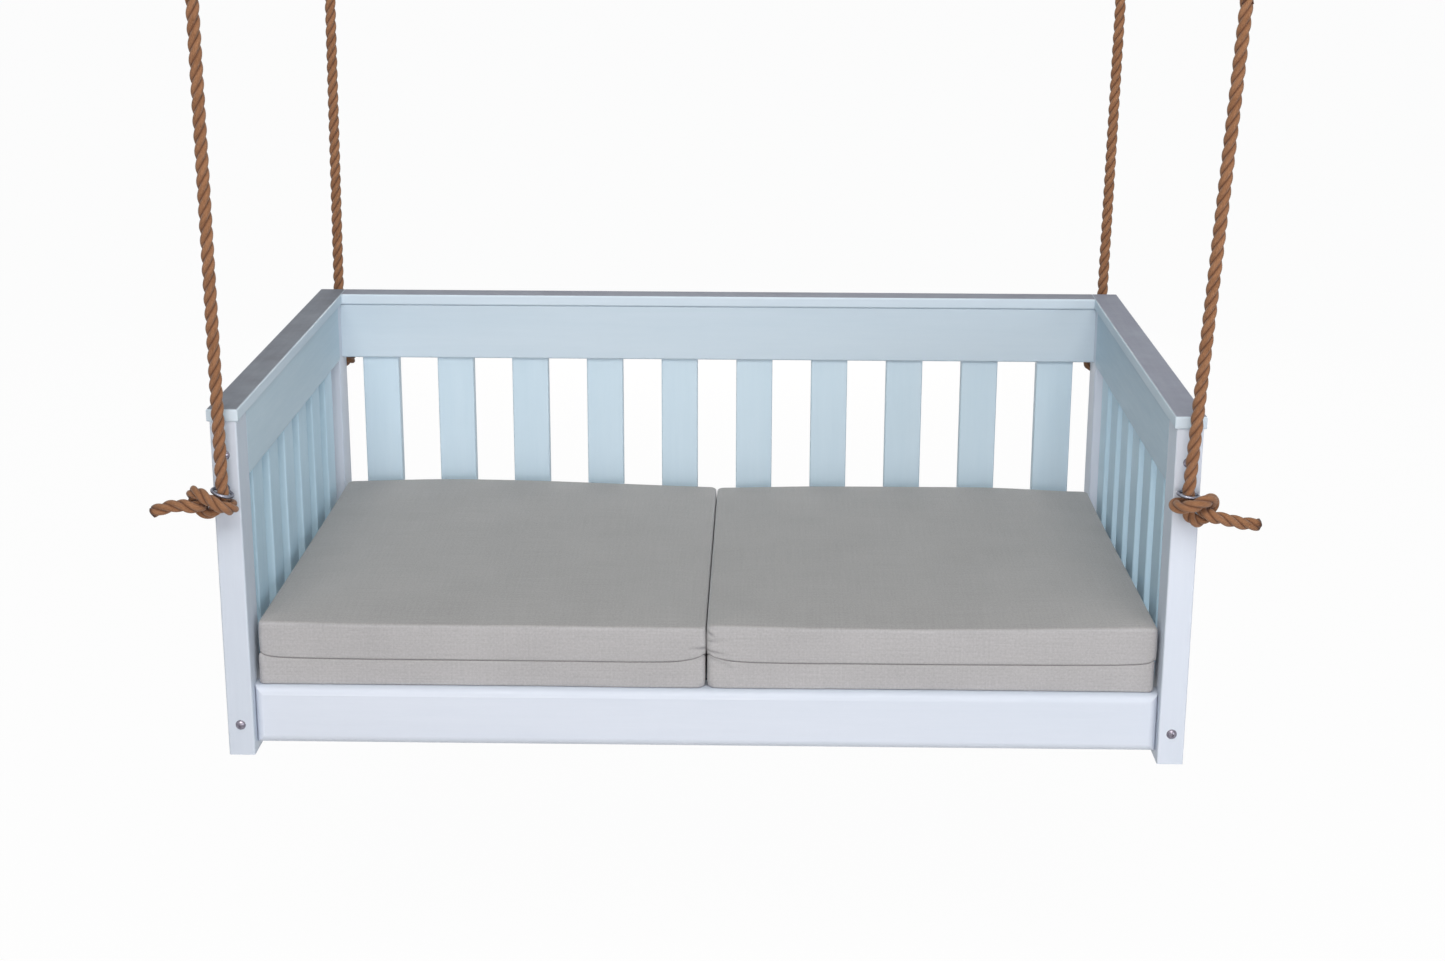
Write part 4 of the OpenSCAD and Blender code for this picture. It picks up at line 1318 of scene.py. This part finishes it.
    def shape_point(self, cell: Vector) -> tuple[Vector, float]:
        """Turns a point of the cube into a point of the cushion.

        Args:
            cell: The point, from -1 to 1 each way.

        Returns:
            Its place in millimetres, from the middle of the cushion's bottom, and how deep it
            lies in a seam or a fold, from 0 to 1.
        """
        radius = self.corner_radius
        x, y = self.spread(cell.x) * self.half_x, self.spread(cell.y) * self.half_y
        core = Vector((max(min(x, self.half_x - radius), radius - self.half_x),
                       max(min(y, self.half_y - radius), radius - self.half_y)))
        out = Vector((x, y)) - core
        edge_gap = min(self.half_x - abs(x), self.half_y - abs(y))
        if out.x and out.y:
            longest = max(abs(out.x), abs(out.y))
            out *= longest / out.length
            edge_gap = radius - longest
        flat = core + out
        level = (cell.z + 1) / 2 * (len(self.levels) - 1)
        low = min(int(level), len(self.levels) - 2)
        z = self.levels[low] + (self.levels[low + 1] - self.levels[low]) * (level - low)
        sewn = math.exp(-((z - self.seam) / 0.6) ** 2) if abs(cell.z) < 0.9999 else 0.0
        if abs(cell.z) > 0.9999:
            is_top = cell.z > 0
            inset = (self.top_round if is_top else self.bottom_round) * max(
                0.0, 1 - edge_gap / self.edge_reach)
            if is_top:
                rise = 1 - (1 - min(edge_gap / self.crown_reach, 1.0)) ** 2.4
                z = self.height + self.crown * rise + self.lift(flat.x, flat.y)
        else:
            inset = self.side_inset(flat.x, z)
            near_seam = math.exp(-((z - self.seam) / self.seam_reach) ** 2)
            z += (self.seam_rise(flat.x, flat.y) * near_seam
                  + self.lift(flat.x, flat.y) * (z / self.height) ** 1.5)
        drawn = self.draw_sides(flat.x, flat.y)
        place = Vector((flat.x * (self.half_x - inset - drawn.x) / self.half_x,
                        flat.y * (self.half_y - inset - drawn.y) / self.half_y, z))
        return self.work_front(place, sewn)

    def work_front(self, place: Vector, fold: float) -> tuple[Vector, float]:
        """Presses the folds and the loose bottom corner into the front by the other cushion.

        Args:
            place: The point so far.
            fold: How deep it lies in a seam so far.

        Returns:
            The point and its depth after that.
        """
        from_inner = self.half_x + self.outward * place.x
        from_front = place.y + self.half_y
        if from_inner > self.fold_reach[0] or from_front > self.fold_reach[1]:
            return place, fold
        if from_front < 12:
            for crease in self.creases:
                push, share = crease.push(from_inner, place.z)
                place.y += push
                fold = max(fold, share)
        size, reach = self.loose_corner
        loose = size * math.exp(-(place.z / reach) ** 2 - (from_inner + from_front) / reach)
        place.x += self.outward * loose
        place.y += loose
        return place, min(fold, 1.0)

    def panel_uv(self, shape: BMesh) -> None:
        """Lays the cloth's pattern flat on each panel, in metres.

        Args:
            shape: The cushion's shape.
        """
        layer = shape.loops.layers.uv.new("cloth")
        for face in shape.faces:
            x, y, z = (abs(part) for part in face.normal)
            u, v = (0, 1) if z >= max(x, y) else (0, 2) if y >= x else (1, 2)
            for loop in face.loops:
                loop[layer].uv = (loop.vert.co[u], loop.vert.co[v])

    def build(self, finish: Material) -> None:
        """Args:
            finish: The cloth.
        """
        shape = self.box_shell()
        # How deep each point lies in a seam or a crease, which the cloth darkens: painted shade.
        fold = shape.verts.layers.float.new("fold")
        for vert in shape.verts:
            place, depth = self.shape_point(vert.co)
            vert.co = self.middle + place * MM
            vert[fold] = depth
        bmesh.ops.recalc_face_normals(shape, faces=shape.faces[:])
        shape.normal_update()
        self.panel_uv(shape)
        piece = finish_mesh(shape, self.name + "_cover", finish)
        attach(piece, self.name)
        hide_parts(self.name)
        LOG.info("%s: %d faces", piece.name, len(piece.data.polygons))

    def sew(self, finish: Material, first: float, pitch: float, count: int) -> None:
        """Builds the stitches that show along the front of the seam by the other cushion.

        Args:
            finish: The thread.
            first: The first stitch's distance from the inner end, in millimetres.
            pitch: The distance from stitch to stitch, in millimetres.
            count: The number of stitches.
        """
        shape = bmesh.new()
        z = self.seam + 0.9
        for i in range(count):
            x = self.outward * (first + pitch * i - self.half_x)
            y = self.side_inset(x, z) + self.draw_sides(x, -self.half_y).y - self.half_y
            spot = self.middle + Vector((x, y, z + self.seam_rise(x, -self.half_y))) * MM
            bmesh.ops.create_icosphere(
                shape, subdivisions=2, radius=0.55 * MM,
                matrix=Matrix.Translation(spot) @ Matrix.Diagonal((1.5, 0.8, 0.8, 1)))
        piece = finish_mesh(shape, self.name + "_stitches", finish)
        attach(piece, self.name)


def build_cushions(shop: Workshop) -> None:
    """Builds both cushions in the space of their solids.

    Args:
        shop: The shared node groups.
    """
    cloth = CushionCloth().make(shop)
    left_folds = (Crease((2, 62), (19, 62.5)), Crease((1, 49), (13, 44), 0.8))
    right_folds = (Crease((3, 86), (11, 80)), Crease((4, 74), (24, 75.5), 1.0),
                   Crease((4, 58), (26, 54), 1.4), Crease((3, 49), (30, 37), 1.0),
                   Crease((30, 40), (38, 26), 0.6))
    left = Cushion("cushion_left", *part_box("cushion_left"), outward=-1,
                   front_lift=(3.5, 0.5, 0, 0, 0), back_lift=(0, 5, 4, -1, -6),
                   creases=left_folds, outer_out=(1.5, -1.0))
    left.build(cloth)
    left.sew(SewingThread().make(), first=38.0, pitch=2.5, count=9)
    Cushion("cushion_right", *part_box("cushion_right"), outward=1,
            front_lift=(6, 2.5, 0, 0.5, 3.5), back_lift=(-9, -2.5, -2, -3, -7),
            creases=right_folds, outer_out=(1.3, 2.2)).build(cloth)


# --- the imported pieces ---


@dataclass
class PackedPieces:
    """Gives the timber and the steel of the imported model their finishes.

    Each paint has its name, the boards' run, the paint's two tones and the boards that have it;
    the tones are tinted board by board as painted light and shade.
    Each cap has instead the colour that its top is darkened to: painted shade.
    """

    shop: Workshop
    paints_and_shading: tuple = (
        # Painted light and shade: copies of one paint, warmer on the front rail and the front
        # posts, darker on the arms' top rails, the left front post and the back rails, bluer on
        # the slats.
        ("front_paint", Grain.ALONG_X, (209, 217, 229), (197, 207, 220), ("front_rail",)),
        ("back_paint", Grain.ALONG_X, (198, 214, 225), (184, 203, 216),
         ("back_bottom_rail", "back_top_rail")),
        ("paint_along_y", Grain.ALONG_Y, (204, 219, 230), (190, 208, 221),
         ("arm_bottom_rail_left", "arm_bottom_rail_right", "seat_boards")),
        ("arm_paint_left", Grain.ALONG_Y, (191, 211, 223), (178, 200, 214),
         ("arm_top_rail_left",)),
        ("arm_paint_right", Grain.ALONG_Y, (182, 203, 217), (169, 192, 208),
         ("arm_top_rail_right",)),
        ("post_paint", Grain.ALONG_Z, (209, 217, 229), (197, 207, 220),
         ("post_front_right", "post_back_left", "post_back_right")),
        ("left_post_paint", Grain.ALONG_Z, (203, 212, 224), (192, 202, 215),
         ("post_front_left",)),
        ("slat_paint", Grain.ALONG_Z, (203, 223, 235), (188, 212, 226), ("back_slats",)),
        ("arm_slat_paint", Grain.ALONG_Z, (195, 221, 236), (180, 210, 226),
         ("arm_slats_left", "arm_slats_right")))
    # Painted shade: each cap's top colour, darker on the left cap than on the right.
    caps: tuple = (
        ("cap_paint_left", Grain.ALONG_Y, (86, 84, 93), "arm_cap_left"),
        ("cap_paint_right", Grain.ALONG_Y, (125, 123, 137), "arm_cap_right"),
        ("cap_paint_along_x", Grain.ALONG_X, (118, 116, 128), "back_cap"))

    def dress(self, material: Material, names: tuple) -> None:
        """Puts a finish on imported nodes.

        Args:
            material: The finish.
            names: The nodes' names.
        """
        for name in names:
            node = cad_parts[name]
            node.data.materials.clear()
            node.data.materials.append(material)
        LOG.info("%s: %d packed pieces", material.name, len(names))

    def build(self) -> None:
        """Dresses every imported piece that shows."""
        shop = self.shop
        for name, grain, paint, shade, boards in self.paints_and_shading:
            self.dress(PaintedTimber(name, grain, paint, shade).make(shop), boards)
        for name, grain, painted_top_shade, board in self.caps:
            self.dress(PaintedTimber(name, grain, painted_top_shade=painted_top_shade).make(shop), (board,))
        self.dress(BareTimber("bare_softwood", Grain.ALONG_X).make(shop),
                   ("seat_cleat_front", "seat_cleat_back"))
        self.dress(BareTimber("bare_beech", Grain.ALONG_Z).make(shop),
                   ("frame_dowels", "cap_dowels"))
        # Painted reflection: both steels are darker than bare steel, standing for the dark
        # surroundings that the metal reflects.
        bright = Steel("bright_steel", (150, 146, 156), (112, 108, 120), 0.18, 0.34)
        self.dress(bright.make(shop),
                   ("arm_bolts", "rail_bolts", "barrel_nuts", "board_screws", "cleat_screws"))
        dull = Steel("zinc_steel", (138, 140, 150), (104, 106, 118), 0.26, 0.42)
        fittings = [f"{kind}_{corner.label}" for kind in
                    ("thimble", "shackle", "pin", "ceiling_bracket") for corner in Corner]
        self.dress(dull.make(shop), ("eye_screws", "ceiling_bolts", *fittings))


def main() -> None:
    """Builds the view, the ropes, the cushions, the finishes and the studio, in that order."""
    logging.basicConfig(level=logging.INFO, format="%(name)s: %(message)s")
    Viewpoint().build()
    shop = Workshop()
    RopeWork(ThreeStrand(RopeFibre().make())).build()
    build_cushions(shop)
    PackedPieces(shop).build()
    Studio().build()


if __name__ == "__main__":
    main()
